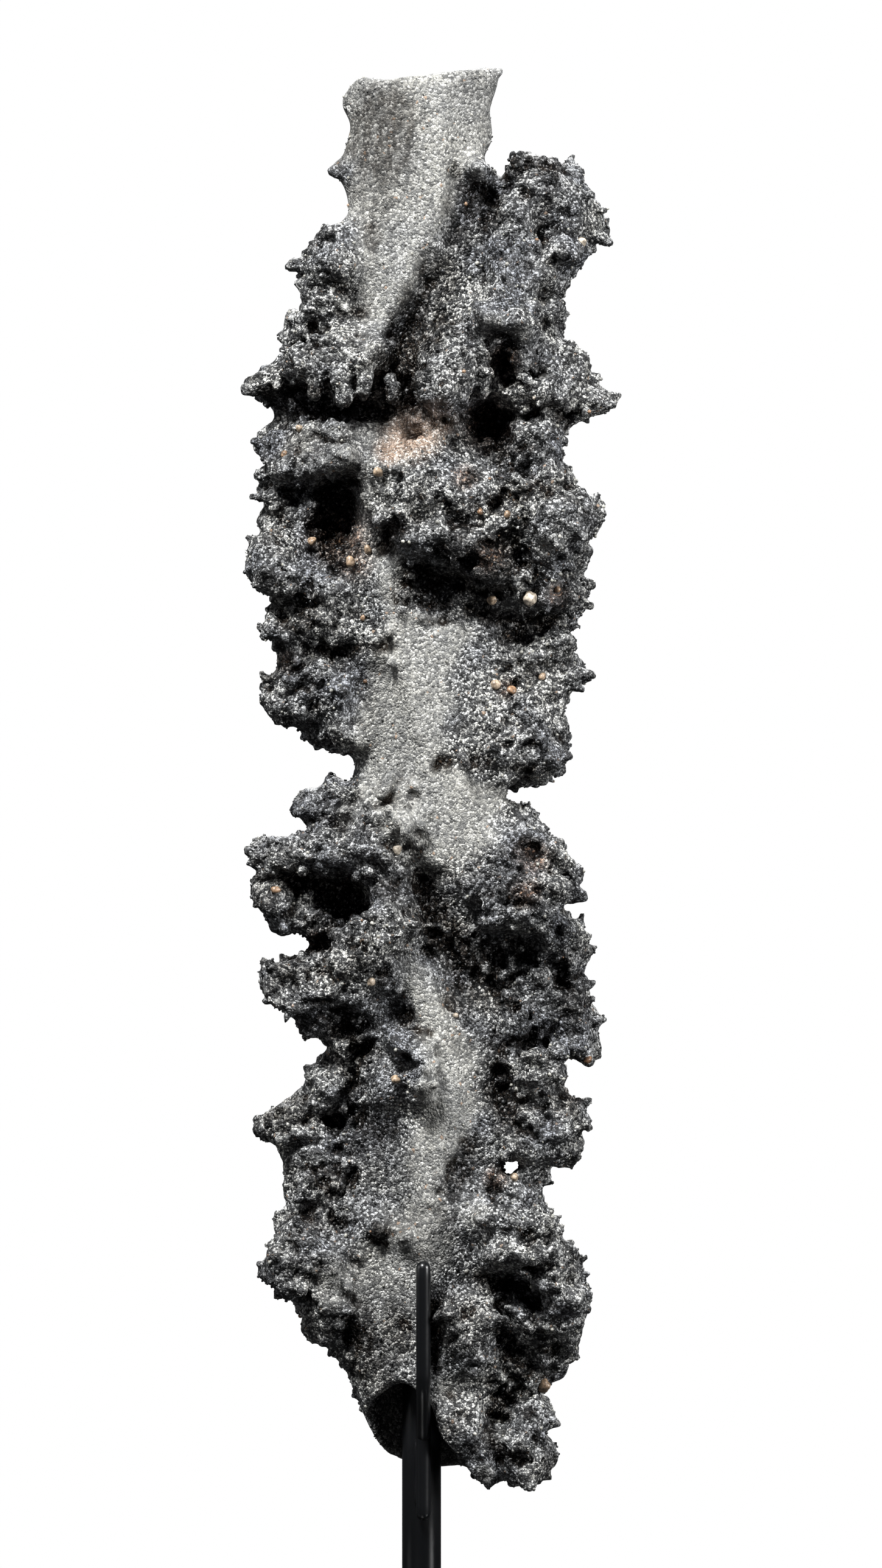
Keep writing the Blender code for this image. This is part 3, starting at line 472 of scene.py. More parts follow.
    # Thin ridges up the front, as rows of (x, height): raised a little, and made pale by a painted
    # highlight.
    ridges: tuple[Table, ...] = (
        ((3, 221), (3.1, 214), (3.0, 209), (1.5, 204)),
        ((-5.9, 148), (-4.4, 137), (-1.6, 127), (-0.2, 122)),
        ((-1.5, 82), (-0.5, 78), (0.7, 75)), ((-0.9, 58), (-0.6, 52), (0.6, 48), (0.4, 39)),
        ((-9.5, 111), (-10.2, 118), (-9.8, 127)),
    )
    # Places stained brown by iron, and the pale pink sandy recess: (x, height, radius).
    brown_spots: Table = (
        (10.5, 173, 5), (-13.5, 155, 6), (13.5, 183, 3), (11, 151, 3.5), (18, 102.5, 3.5),
        (12, 50.5, 2.5), (-17, 89, 2), (17, 97, 3), (25, 65, 2.5), (7, 164, 2.5), (22, 145, 2.5),
        (-22, 134.5, 2), (14, 130, 2), (-11, 150.5, 3.5),
    )
    # Lobes whose glass ran smooth: (x, height, radius).
    smooth_spots: Table = ((22, 207, 8), (26, 203, 5))
    # Places on the tube where knobs grow too: (x, height, radius).
    rough_spots: Table = (
        (2, 147.5, 7), (10, 146.5, 6), (-2, 178, 5), (-9, 178, 4), (3.5, 91, 4), (9, 88, 5),
        (-5, 99, 5), (1, 164, 4), (8, 171, 4),
    )
    sandy_recess: Table = ((-1.5, 171.5, 5.5), (2.5, 173.5, 3.5), (-5, 168.5, 3))
    # A fade runs from its first value to its second. Lengths are in millimetres.
    spot_fade: Span = (1.2, 0.3)
    spot_back_mm: float = 2.0
    # The hollow: how much wider than deep it is, its reach, and how far it is inside the tube.
    hollow_flatness: float = 1.6
    hollow_radius_mm: float = 10.5
    hollow_beside_mm: float = -0.5
    # The pale band wanders by (size, length), and fades at its edge.
    band_wave_mm: Span = (1.3, 7.0)
    band_fade_mm: Span = (-2.2, 1.8)
    # A painted highlight along the thin ridges.
    painted_ridge_highlight: float = 0.45
    spot_paleness: float = 0.75
    back_paleness: float = 0.8
    back_fade_mm: Span = (1.0, -4.0)
    back_y_mm: float = 1.0
    # Knobs grow beside the tube and on lumps that stand far out, and not on the neck.
    side_fade_mm: Span = (-1.0, 3.5)
    lump_fade_mm: Span = (8.8, 10.6)
    neck_fade_mm: Span = (200.0, 207.0)
    neck_side_mm: Span = (4.0, 0.0)
    most_on_front: float = 0.9
    lost_on_pale: float = 0.55
    lost_on_smooth: float = 0.75
    # The crests: a broad net, (across, up), and a fine one, each with (height, width).
    broad_net_mm: Span = (8.0, 6.5)
    broad_crest: Span = (1.0, 0.3)
    fine_net_mm: float = 3.3
    fine_shift_mm: float = 50.0
    fine_crest: Span = (0.85, 0.22)
    ridge_fade_mm: Span = (1.5, 0.2)
    ridge_rise_mm: float = 0.5
    # Caves are bent by waves of (size, length, seed), and swells and caves fade at the rim.
    cave_waves: Table = ((0.5, 4.5, 3), (0.4, 1.8, 13))
    cave_fade: Span = (1.3, 0.65)
    swell_fade: Span = (1.2, 0.2)
    # Carving keeps to the front, and to floors in front of the hollow and of the back.
    facing_fade: Span = (0.3, -0.2)
    carved_y_mm: float = -1.0
    tube_side_mm: float = 0.5
    floors_mm: Span = (-6.6, -1.0)
    # Lighter crumbs that break up the caves' painted shade, (most, spread), and how that painted
    # shade ends at the sides.
    crumbs: Span = (0.93, 0.3)
    crumb_mm: float = 1.7
    shade_fade_mm: Span = (3.0, 0.0)

    def height(self, points: Array) -> Array:
        """Return the height above the lowest tip, in millimetres."""
        return (points[:, 2] - self.foot_z) / MM

    def beside_tube(self, points: Array) -> Array:
        """Return how far a point is to the side of the central tube, in millimetres."""
        x, height = points[:, 0] / MM, self.height(points)
        return np.maximum(column(self.tube, height, 1) - x, x - column(self.tube, height, 2))

    def inside(self, points: Array, normals: Array) -> Array:
        """Say which points are on the wall of the hollow, where no knobs grow."""
        height = self.height(points)
        middle = (column(self.tube, height, 1) + column(self.tube, height, 2)) / 2.0
        x = points[:, 0] / MM - middle
        y = points[:, 1] / MM
        facing_axis = normals[:, 0] * x + normals[:, 1] * y < 0.0
        near_axis = np.hypot(x, self.hollow_flatness * y) < self.hollow_radius_mm
        return facing_axis & near_axis & (self.beside_tube(points) < self.hollow_beside_mm)

    def pale(self, points: Array) -> Array:
        """Return how pale and fine-grained the surface is, from 0 to 1, with a painted highlight
        on the ridges.
        """
        x, y, height = points[:, 0] / MM, points[:, 1] / MM, self.height(points)
        left = column(self.pale_band, height, 1)
        right = column(self.pale_band, height, 2)
        amount = column(self.pale_band, height, 3)
        size, length = self.band_wave_mm
        within = np.minimum(x - left, right - x) + size * waves(points, length, 41)
        front = amount * ramp_up(*self.band_fade_mm, within)
        # A painted highlight along the ridges.
        front = front + self.painted_ridge_highlight * self.ridge(points)
        front = np.maximum(front, self.spot_paleness * self.near(self.pale_spots, points))
        back = self.back_paleness * ramp_up(*self.back_fade_mm, self.beside_tube(points))
        return np.where(y < self.back_y_mm, front, back)

    def knobby(self, points: Array) -> Array:
        """Return how knobby the surface is, from 0 on the tube to 1 on the flanges."""
        y = np.abs(points[:, 1]) / MM
        beside = self.beside_tube(points)
        side = ramp_up(*self.side_fade_mm, beside)
        lumps = ramp_up(*self.lump_fade_mm, y)
        neck = ramp_up(*self.neck_fade_mm, self.height(points))
        neck = neck * ramp_up(*self.neck_side_mm, beside)
        grown = np.maximum(side, self.most_on_front * lumps) * (1.0 - neck)
        grown = grown * (1.0 - self.lost_on_pale * self.pale(points))
        grown = np.maximum(grown, self.most_on_front * self.near(self.rough_spots, points))
        return grown * (1.0 - self.lost_on_smooth * self.near(self.smooth_spots, points))

    def crests(self, points: Array) -> Array:
        """Return 1 along the ragged crests that net the stone, and 0 between them."""
        across, up = self.broad_net_mm
        nets = (
            [Vector((x / across, y / across, z / up)) for x, y, z in points / MM],
            [Vector(p) / self.fine_net_mm for p in points / MM + self.fine_shift_mm],
        )
        broad, fine = (
            high - np.abs(np.array([noise.noise(place) for place in net])) / wide
            for net, (high, wide) in zip(nets, (self.broad_crest, self.fine_crest))
        )
        return np.clip(np.maximum(broad, fine), 0.0, 1.0)

    def ridge(self, points: Array) -> Array:
        """Return 1 on the thin ridges of the front, fading to 0 beside them."""
        x, height = points[:, 0] / MM, self.height(points)
        result = np.zeros(len(points))
        for row in self.ridges:
            for (x1, h1), (x2, h2) in zip(row, row[1:]):
                along = (x - x1) * (x2 - x1) + (height - h1) * (h2 - h1)
                share = np.clip(along / ((x2 - x1) ** 2 + (h2 - h1) ** 2), 0.0, 1.0)
                away = np.hypot(x - x1 - share * (x2 - x1), height - h1 - share * (h2 - h1))
                result = np.maximum(result, ramp_up(*self.ridge_fade_mm, away))
        return result * (points[:, 1] < 0.0)

    def _deepest(self, points: Array, index: int) -> Array:
        """Return the most that any cave gives a point, from one column of their table."""
        x, height = points[:, 0] / MM, self.height(points)
        for size, length, seed in self.cave_waves:
            x = x + size * waves(points, length, seed)
            height = height + size * waves(points, length, seed + 1)
        result = np.zeros(len(points))
        for cave in self.caves:
            away = np.hypot((x - cave[0]) / cave[2], (height - cave[1]) / cave[3])
            result = np.maximum(result, cave[index] * ramp_up(*self.cave_fade, away))
        return result

    def carved(self, points: Array, normals: Array) -> Array:
        """Push the front in at the caves, but never through to the hollow or the back.

        Args:
            points: the surface's points.
            normals: its normals.

        Returns:
            The moved points.
        """
        push = self._deepest(points, 4)
        facing = ramp_up(*self.facing_fade, normals[:, 1])
        facing = facing * (points[:, 1] < self.carved_y_mm * MM)
        moved = points.copy()
        floor = np.where(self.beside_tube(points) < self.tube_side_mm, *self.floors_mm) * MM
        target = np.minimum(points[:, 1] + push * facing * MM, floor)
        rise = self.ridge_rise_mm * self.ridge(points)
        for x, height, wide, high, most in self.swells:
            away = np.hypot((points[:, 0] / MM - x) / wide, (self.height(points) - height) / high)
            rise = np.maximum(rise, most * ramp_up(*self.swell_fade, away))
        moved[:, 1] = np.maximum(points[:, 1], target) - rise * facing * MM
        return moved

    def shade(self, points: Array) -> Array:
        """Return the painted shade that the caves lay on the front, from 0 to 1."""
        most, spread = self.crumbs
        crumbs = np.clip(most + spread * waves(points, self.crumb_mm, 23), 0.0, 1.0)
        # The caves' painted shade, broken up by lighter crumbs.
        return self._deepest(points, 5) * crumbs * ramp_up(*self.shade_fade_mm, points[:, 1] / MM)

    def near(self, spots: Table, points: Array) -> Array:
        """Return 1 at the middle of any of the spots on the front, fading to 0 at its edge."""
        x, height = points[:, 0] / MM, self.height(points)
        result = np.zeros(len(points))
        for spot_x, spot_height, radius in spots:
            away = np.hypot(x - spot_x, height - spot_height) / radius
            result = np.maximum(result, ramp_up(*self.spot_fade, away))
        return result * (points[:, 1] < self.spot_back_mm * MM)


# --- Finishes ---


@dataclass(frozen=True)
class FusedSand:
    """Desert sand fused by lightning: quartz grains half sunk in dark bubbly glass.

    The sand is medium to coarse, and each grain shows as a speck of its own. Grains that
    melted are dark and glossy, and those that only sintered are white or grey and dull, so
    the surface looks like salt and pepper. The tube's fine skin is nearly all white grains.
    """

    # Swirls bend the grains out of round, and threads of glass run through them.
    grain_mm: float = 0.42
    swirls_a_grain: float = 0.9
    swirl_bend: float = 1.3
    threads_a_grain: float = 0.5
    thread_share: float = 1.2
    tone_share: float = 0.85
    speck_offset: float = -0.52
    mottle_mm: float = 2.4
    patch_mm: float = 9.0
    # Colours.
    dark_grains: Stops = (
        (0.0, "0A0A0B"), (0.32, "2C2D2E"), (0.5, "666767"), (0.68, "C2C2BD"), (1.0, "FCFBF5")
    )
    light_grains: Stops = ((0.0, "545452"), (0.25, "787875"), (0.6, "94938D"), (1.0, "C0BFB9"))
    iron_grains: Stops = ((0.0, "1E120C"), (0.45, "48301F"), (0.8, "7F5A40"), (1.0, "C79F7E"))
    pink_grains: Stops = ((0.0, "614B3E"), (0.4, "97806C"), (0.75, "BFAB9A"), (1.0, "DFD4C9"))
    clouds: Stops = ((0.35, "B4B8C4"), (0.65, "FFFFFF"))
    tan_colour: str = "A08B78"
    tan_share: float = 0.006
    # The colour that the painted shade of caves, creases and gaps multiplies in.
    painted_shade_colour: str = "443A32"
    tip_colour: str = "1B1B1B"
    tip_darkness: float = 0.6
    # How much of a grain the painted shade in the seam round it takes, on the glass and on the
    # pale skin.
    seam_widths: Span = (0.24, 0.06)
    seam_light: float = 0.12
    # Which grains the painted shade in the caves spares, and how much less dark they are.
    spared_tones: Span = (0.68, 0.95)
    spared_shade: float = 0.65
    cloud_share_on_pale: float = 0.35
    least_rust: float = 0.35
    # Melted grains run from wet to satin, sintered ones are dull, and the specular falls where
    # shade is painted.
    glass_roughness: Span = (0.32, 0.75)
    sinter_roughness: float = 0.7
    specular: Span = (0.5, 0.08)
    ior: float = 1.5
    bump_grains: float = 0.5

    def material(self) -> Material:
        """Build the material. It reads the point attributes that the skin stores."""
        material, add, shader = new_material("fused_sand")
        place = add("TexCoord").outputs["Object"]
        marks = {
            name: add("Attribute", {"attribute_name": name}).outputs["Fac"]
            for name in ("pale", "brown", "sandy", "shade", "tip")
        }
        grains, seams = self._grains(add, place)
        tone = add("SeparateColor", {"Color": grains.outputs["Color"]}).outputs
        speck = self._speck(add, place, tone["Red"])
        pale = self._pale_mask(add, place, marks["pale"])
        base = self._glass_colour(add, tone, speck, pale, marks)
        base = self._darkened(add, base, speck, pale, seams, marks, place)
        wet, satin = self.glass_roughness
        gloss = add("MapRange", {"To Min": wet, "To Max": satin, "Value": tone["Blue"]})
        dull = add("Mix", {"data_type": "FLOAT", 3: self.sinter_roughness, 0: pale, 2: gloss})
        shine, least = self.specular
        # The specular falls where shade is painted, so the painted shade stays dark.
        level = add("MapRange", {"To Min": shine, "To Max": least, "Value": marks["shade"]})
        round_top = add("Math", {"operation": "MULTIPLY", 1: -1.0, 0: grains})
        bump = add("Bump", {
            "Strength": 1.0, "Distance": self.bump_grains * self.grain_mm * MM,
            "Height": round_top,
        })
        set_values(shader, {
            "Base Color": base, "Roughness": dull, "IOR": self.ior, "Specular IOR Level": level,
            "Normal": bump,
        })
        return material

    def _grains(self, add: AddNode, place: Socket) -> tuple[Node, Node]:
        """Make the grains, bent out of round, and the distance from the seams between them."""
        grain = self.grain_mm * MM
        swirl = add("TexNoise", {
            "Scale": self.swirls_a_grain / grain, "Detail": 1.0, "Vector": place,
        })
        bent = add("VectorMath", {
            "operation": "MULTIPLY_ADD", 0: swirl.outputs["Color"],
            1: (self.swirl_bend * self.grain_mm * MM,) * 3, 2: place,
        })
        cells = {"Scale": 1.0 / grain, "Vector": bent}
        edges = {"feature": "DISTANCE_TO_EDGE", **cells}
        return add("TexVoronoi", cells), add("TexVoronoi", edges)

    def _speck(self, add: AddNode, place: Socket, red: Socket) -> Node:
        """Make each grain's tone, drawn out in places by threads of glass."""
        threads = add("TexNoise", {
            "Scale": self.threads_a_grain / (self.grain_mm * MM), "Detail": 3.0,
            "Roughness": 0.7, "Distortion": 1.5, "Vector": place,
        })
        lifted = add("Math", {
            "operation": "MULTIPLY_ADD", 0: threads, 1: self.thread_share, 2: self.speck_offset,
        })
        return add("Math", {
            "operation": "MULTIPLY_ADD", "use_clamp": True, 0: red, 1: self.tone_share,
            2: lifted,
        })

    def _pale_mask(self, add: AddNode, place: Socket, pale: Socket) -> Node:
        """Say where the skin is pale, with a mottled edge."""
        mottle = add("TexNoise", {
            "Scale": 1.0 / (self.mottle_mm * MM), "Detail": 3.0, "Roughness": 0.6,
            "Vector": place,
        })
        uneven = add("Math", {"operation": "SUBTRACT", 0: mottle, 1: 0.5})
        return add("Math", {"operation": "ADD", "use_clamp": True, 0: pale, 1: uneven})

    def _glass_colour(
        self, add: AddNode, tone: bpy.types.NodeOutputs, speck: Node,
        pale: Node, marks: dict[str, Socket],
    ) -> Socket:
        """Colour the grains: dark glass, pale skin, brown stains, pink sand and tan grains."""
        dark, light, iron, pink = (
            add("ValToRGB", {"Fac": driver, "stops": stops})
            for driver, stops in (
                (speck, self.dark_grains), (tone["Red"], self.light_grains),
                (speck, self.iron_grains), (speck, self.pink_grains),
            )
        )
        rusty = add("MapRange", {"To Min": self.least_rust, "To Max": 1.0, "Value": tone["Blue"]})
        browned = add("Math", {"operation": "MULTIPLY", 0: marks["brown"], 1: rusty})
        tan = add("Math", {
            "operation": "GREATER_THAN", 0: tone["Green"], 1: 1.0 - self.tan_share,
        })
        return layered(add, dark.outputs["Color"], (
            ("MIX", pale, light), ("MIX", browned, iron), ("MIX", marks["sandy"], pink),
            ("MIX", tan, linear(self.tan_colour)),
        ))

    def _darkened(
        self, add: AddNode, base: Socket, speck: Node,
        pale: Node, seams: Node, marks: dict[str, Socket],
        place: Socket,
    ) -> Socket:
        """Lay broad clouds, painted shade in the seams between grains and in the caves, creases
        and gaps, and dark glass tips over a colour.
        """
        patch = add("TexNoise", {
            "Scale": 1.0 / (self.patch_mm * MM), "Detail": 2.0, "Vector": place,
        })
        clouds = add("ValToRGB", {"Fac": patch, "stops": self.clouds})
        clouded = add("Math", {
            "operation": "MULTIPLY_ADD", 0: pale, 1: self.cloud_share_on_pale - 1.0, 2: 1.0,
        })
        # Painted shade in the seams between the grains.
        wide, thin = self.seam_widths
        width = add("MapRange", {"To Min": wide, "To Max": thin, "Value": pale})
        seam_shade = add("MapRange", {
            "To Min": self.seam_light, "To Max": 1.0, "Value": seams, "From Max": width,
        })
        grey, white = self.spared_tones
        spared = add("MapRange", {
            "From Min": grey, "From Max": white, "To Min": 1.0, "To Max": self.spared_shade,
            "Value": speck,
        })
        # Painted shade from caves, creases and gaps, less on the brightest grains.
        shade = add("Math", {"operation": "MULTIPLY", 0: marks["shade"], 1: spared})
        glassy = add("Math", {"operation": "MULTIPLY", 0: marks["tip"], 1: self.tip_darkness})
        return layered(add, base, (
            ("MULTIPLY", clouded, clouds), ("MULTIPLY", 1.0, seam_shade),
            ("MULTIPLY", shade, linear(self.painted_shade_colour)), ("MIX", glassy, linear(self.tip_colour)),
        ))


def layered(add: AddNode, base: Socket, layers: tuple) -> Socket:
    """Lay colours over a base.

    Args:
        add: the function that adds a node.
        base: the lowest colour.
        layers: each layer's blend, share and colour, from the lowest up.

    Returns:
        The colour of all of them.
    """
    for blend, share, colour in layers:
        settings = {"data_type": "RGBA", "blend_type": blend, 0: share, 6: base, 7: colour}
        base = add("Mix", settings).outputs[2]
    return base


@dataclass(frozen=True)
class LooseGrain:
    """Single quartz grains that stuck to the glass without melting: sugary and half clear.

    Each grain is one tone, from smoky grey to white with a few tan ones, and a little gloss
    makes it sparkle.
    """

    roughness: float = 0.32
    ior: float = 1.54
    tones: Stops = (
        (0.0, "101112"), (0.35, "2A2B2C"), (0.6, "5A5A59"), (0.85, "98978F"), (0.965, "CFCDC5"),
        (0.975, "8C7560"), (1.0, "7A5C45"),
    )

    def material(self) -> Material:
        """Build the material. It reads the point attribute tone."""
        material, add, shader = new_material("quartz_grain")
        tone = add("Attribute", {"attribute_name": "tone"}).outputs["Fac"]
        base = add("ValToRGB", {"Fac": tone, "stops": self.tones})
        set_values(shader, {"Base Color": base, "Roughness": self.roughness, "IOR": self.ior})
        return material


@dataclass(frozen=True)
class Pebble:
    """Rounded feldspar and quartz pebbles: tan or cream, waxy, with faint mottling."""

    mottle_mm: float = 0.5
    roughness: float = 0.4
    ior: float = 1.53
    tones: Stops = ((0.0, "5F412D"), (0.4, "9C7C60"), (0.75, "B5A088"), (1.0, "CDC3B3"))
    mottles: Stops = ((0.35, "8E8A86"), (0.65, "FFFFFF"))

    def material(self) -> Material:
        """Build the material. It reads the point attribute tone."""
        material, add, shader = new_material("tan_pebble")
        place = add("TexCoord").outputs["Object"]
        tone = add("Attribute", {"attribute_name": "tone"}).outputs["Fac"]
        ramp = add("ValToRGB", {"Fac": tone, "stops": self.tones})
        mottle = add("TexNoise", {
            "Scale": 1.0 / (self.mottle_mm * MM), "Detail": 2.0, "Vector": place,
        })
        shade = add("ValToRGB", {"Fac": mottle, "stops": self.mottles})
        base = layered(add, ramp.outputs["Color"], (("MULTIPLY", 1.0, shade),))
        set_values(shader, {"Base Color": base, "Roughness": self.roughness, "IOR": self.ior})
        return material


@dataclass(frozen=True)
class SatinPaint:
    """Black satin lacquer sprayed on steel: faint orange peel and a soft, broad highlight."""

    colour: str = "08090B"
    peel_mm: float = 1.1
    peel_depth_mm: float = 0.05
    peel_strength: float = 0.25
    smudge_mm: float = 9.0
    roughness: Span = (0.21, 0.37)

    def material(self) -> Material:
        """Build the material."""
        material, add, shader = new_material("black_satin_lacquer")
        place = add("TexCoord").outputs["Object"]
        smudge = add("TexNoise", {
            "Scale": 1.0 / (self.smudge_mm * MM), "Detail": 4.0, "Vector": place,
        })
        low, high = self.roughness
        rough = add("MapRange", {"To Min": low, "To Max": high, "Value": smudge})
        peel = add("TexNoise", {
            "Scale": 1.0 / (self.peel_mm * MM), "Detail": 1.0, "Vector": place,
        })
        bump = add("Bump", {
            "Strength": self.peel_strength, "Distance": self.peel_depth_mm * MM, "Height": peel,
        })
        set_values(shader, {
            "Base Color": linear(self.colour), "Roughness": rough, "Normal": bump,
        })
        return material


# --- The stone ---


@dataclass
class Outline:
    """The stone's outline from the front, as a map of how far inside it each place is."""

    CELL_MM: ClassVar[float] = 0.4
    SAMPLES: ClassVar[int] = 2_000_000
    MARGIN_MM: ClassVar[float] = 5.0
    STEPS: ClassVar[int] = 14
    REACH_MM: ClassVar[float] = 5.0
    low: Array
    cell: float
    depth: Array

    @classmethod
    def of(cls, points: Array, triangles: Array, rng: Random) -> Outline:
        """Draw the outline of a surface.

        Args:
            points: the surface's points.
            triangles: its triangles.
            rng: the source of the sample that covers the surface.

        Returns:
            The outline.
        """
        cell, margin = cls.CELL_MM * MM, cls.MARGIN_MM * MM
        even = np.ones(len(triangles))
        places, _ = sample_surface(points, triangles, even, cls.SAMPLES, rng)
        flat = places[:, (0, 2)]
        low = flat.min(axis=0) - margin
        size = np.ceil((flat.max(axis=0) + margin - low) / cell).astype(int)
        index = ((flat - low) / cell).astype(int)
        covered = np.zeros(size, bool)
        covered[index[:, 0], index[:, 1]] = True
        covered = ~shrunk(~covered, True)
        covered = shrunk(covered, True)
        depth = np.zeros(size)
        for step in range(cls.STEPS):
            depth += covered
            covered = shrunk(covered, step % 2 == 1)
        return cls(low, cell, depth * cell)

    def inward(self, place: Array) -> Array:
        """Return the level direction from a place on the rim into the stone."""
        cells = np.argwhere(self.depth > 0.0) * self.cell + self.low - place[[0, 2]]
        near = cells[np.hypot(cells[:, 0], cells[:, 1]) < self.REACH_MM * MM].mean(axis=0)
        near /= np.hypot(*near)
        return np.array([near[0], 0.0, near[1]])

    def inset(self, places: Array) -> Array:
        """Return how far inside the outline each place is, up to about 5 mm."""
        index = ((places[:, (0, 2)] - self.low) / self.cell).astype(int)
        index = np.clip(index, 0, np.array(self.depth.shape) - 1)
        return self.depth[index[:, 0], index[:, 1]]


def cut_away(body: Surface, tools: list[Surface]) -> Surface:
    """Cut closed surfaces out of a closed surface."""
    item = add_object("to_cut", mesh_of("to_cut", *body))
    tool = add_object("cutters", mesh_of("cutters", *joined(tools)))
    cut = item.modifiers.new("Cut", "BOOLEAN")
    cut.operation = "DIFFERENCE"
    cut.solver = "MANIFOLD"
    cut.object = tool
    result = arrays_of(with_modifiers_applied(item))
    bpy.data.objects.remove(tool)
    return result


def shrunk(covered: Array, corners: bool) -> Array:
    """Take one cell off the edge of a covered area, with or without the corner cells."""
    result = covered.copy()
    for x, z in ((1, 0), (-1, 0), (0, 1), (0, -1)):
        result &= np.roll(covered, (x, z), (0, 1))
    if corners:
        for x, z in ((1, 1), (-1, 1), (1, -1), (-1, -1)):
            result &= np.roll(covered, (x, z), (0, 1))
    return result


@dataclass(frozen=True)
class Growth:
    """How one kind of blob grows on the stone.

    elsewhere is how many grow away from the rims and crests, next to 1 on them. stretch is how
    much each radius varies, and out is how far out the blobs sit, in radii.
    """

    spacing_mm: float
    radius_mm: Span
    elsewhere: float
    stretch: Span
    out: Span


@dataclass
class StoneSkin:
    """The stone's surface: its plain solid, grown over with clusters, knobs and fingers.

    Sand on the flanges melted into round blobs that stuck to one another, so big clusters
    carry small knobs, and short fingers with thick tips stick out between them.
    """

    map: StoneMap
    coarse_voxel_mm: float = 0.75
    fine_voxel_mm: float = 0.47
    most_triangles: int = 196000
    recess_mm: float = 0.9
    crest_mm: float = 2.2
    crest_middle: float = 0.3
    recess_fade_mm: Span = (1.5, 3.0)
    facing_fade: Span = (0.2, 0.7)
    # Nothing grows under the stand's finger: half its width and its top end there.
    finger_half_mm: float = 3.0
    finger_top_mm: float = 39.0
    # Blobs, the draws for their seats, and where the rims and crests begin.
    cluster: Growth = Growth(3.7, (1.5, 2.8), 0.3, (0.75, 1.2), (-0.3, 0.15))
    knob: Growth = Growth(1.25, (0.45, 1.0), 0.12, (0.8, 1.2), (-0.25, 0.6))
    finger: Growth = Growth(2.8, (0.6, 1.05), 0.03, (0.85, 1.15), (-0.3, 0.2))
    draws_a_spacing: float = 45000.0
    rim_fade: Span = (0.3, 0.9)
    crest_fade: Span = (0.5, 0.85)
    side_fade: Span = (0.4, 0.9)
    side_sink: float = 0.75
    overhang_mm: Span = (-0.5, 0.7)
    least_radius_mm: float = 0.35
    least_knobby: float = 0.5
    cluster_height: float = 0.6
    knob_bias: float = 1.3
    # Stretches where the knobs sit lower: (length, seed), how much, and where it fades.
    flat_wave: tuple[float, int] = (11.0, 17)
    flat_depth: float = 0.4
    flat_fade: Span = (0.2, -0.5)
    finger_sizes: tuple[float, ...] = (1.1, 0.85, 0.95)
    finger_lean: float = 0.35
    finger_step: float = 0.85
    # A tip is a row of balls that grow inwards: start, step, jitter, and its radii.
    tip_balls: int = 6
    tip_start: float = 0.2
    tip_step_mm: float = 0.65
    tip_jitter_mm: float = 0.1
    tip_scale: float = 1.12
    tip_growth_mm: float = 0.14
    tip_y_mm: Span = (-3.0, 0.0)
    tip_stretch: Span = (0.85, 1.1)
    spike_step_mm: float = 0.8
    spike_jitter_mm: float = 0.12
    spike_stretch: Span = (0.8, 1.1)
    # The rods that cut the gaps: sides, width next to the table's, and half length.
    gap_sides: int = 10
    gap_scale: float = 1.1
    gap_reach_mm: float = 25.0
    wrinkle_mm: Span = (0.05, 0.25)
    wrinkle_length_mm: float = 1.1
    # Painted shade in narrow gaps and in creases, each (most, from, to), and in the hollow.
    gap_shade: tuple[float, float, float] = (0.55, 0.4, 1.0)
    crease_shade: tuple[float, float, float] = (0.5, 0.04, 0.28)
    hollow_shade: float = 0.6
    clear_fade: Span = (0.2, 0.02)
    seed: int = 7
    outline: Outline | None = None
    # Stubby tips that stick out of the rims: (x, height, radius), from the top down.
    rim_tips: Table = (
        (12.8, 230.5, 0.6), (15, 216.8, 0.7), (24.7, 216.7, 0.5), (-14.7, 214, 0.8),
        (30.6, 202.6, 0.8), (27.2, 200.8, 0.7), (-21.2, 198.9, 0.95), (24.8, 197.6, 0.7),
        (22.2, 195.9, 0.6), (23.1, 194, 0.6), (-21.6, 190.3, 0.6), (23, 190.2, 0.65),
        (-22.9, 187.2, 1), (-22.9, 185.4, 0.5), (27.4, 182.7, 0.5), (28.8, 180.7, 0.8),
        (31.9, 177.6, 0.9), (-28.4, 178.8, 1.2), (-27.2, 170.4, 0.85), (22.9, 168.3, 0.5),
        (-26.8, 164.8, 1), (-27.5, 161.2, 0.6), (27.5, 147, 0.9), (27.5, 143.4, 0.7),
        (-25.1, 143, 0.7), (-26.1, 139.8, 0.9), (24.6, 137.7, 0.6), (28.2, 132.3, 0.65),
        (-26.1, 132.1, 0.55), (26.2, 129.9, 0.6), (-24.2, 126.1, 0.9), (24.3, 122.1, 0.7),
        (-14.9, 115.3, 0.9), (16.8, 114.3, 0.75), (-19, 113.3, 0.5), (14.9, 111.3, 0.6),
        (17.6, 109.7, 0.85), (23.5, 104.5, 0.45), (-28.3, 103.8, 0.75), (-27.9, 101.5, 0.7),
        (-27.7, 98.6, 0.5), (26.1, 96.1, 1.15), (-23.1, 86.7, 0.5), (26.9, 86.5, 0.55),
        (-26.5, 83.9, 0.5), (27.8, 81.9, 0.65), (-25.3, 79.2, 0.85), (-19.1, 73.3, 0.7),
        (27.3, 69.3, 1.1), (21.6, 69.1, 0.65), (-18.6, 68.3, 0.7), (27.3, 63.2, 0.6),
        (26.8, 59.4, 0.6), (-26.8, 58.2, 1.05), (25.7, 55.1, 0.8), (24.5, 52.2, 0.5),
        (20.8, 49.5, 0.5), (21.3, 44.8, 0.6), (22.5, 42.2, 0.7), (24.6, 39.8, 0.6),
        (-25.5, 39.4, 0.45), (26.9, 37.5, 0.5), (-26.1, 35.3, 0.55), (-23.7, 31.2, 0.7),
        (21.9, 10.4, 0.75), (20.8, 1.5, 0.6), (9.7, 1.3, 0.45),
    )
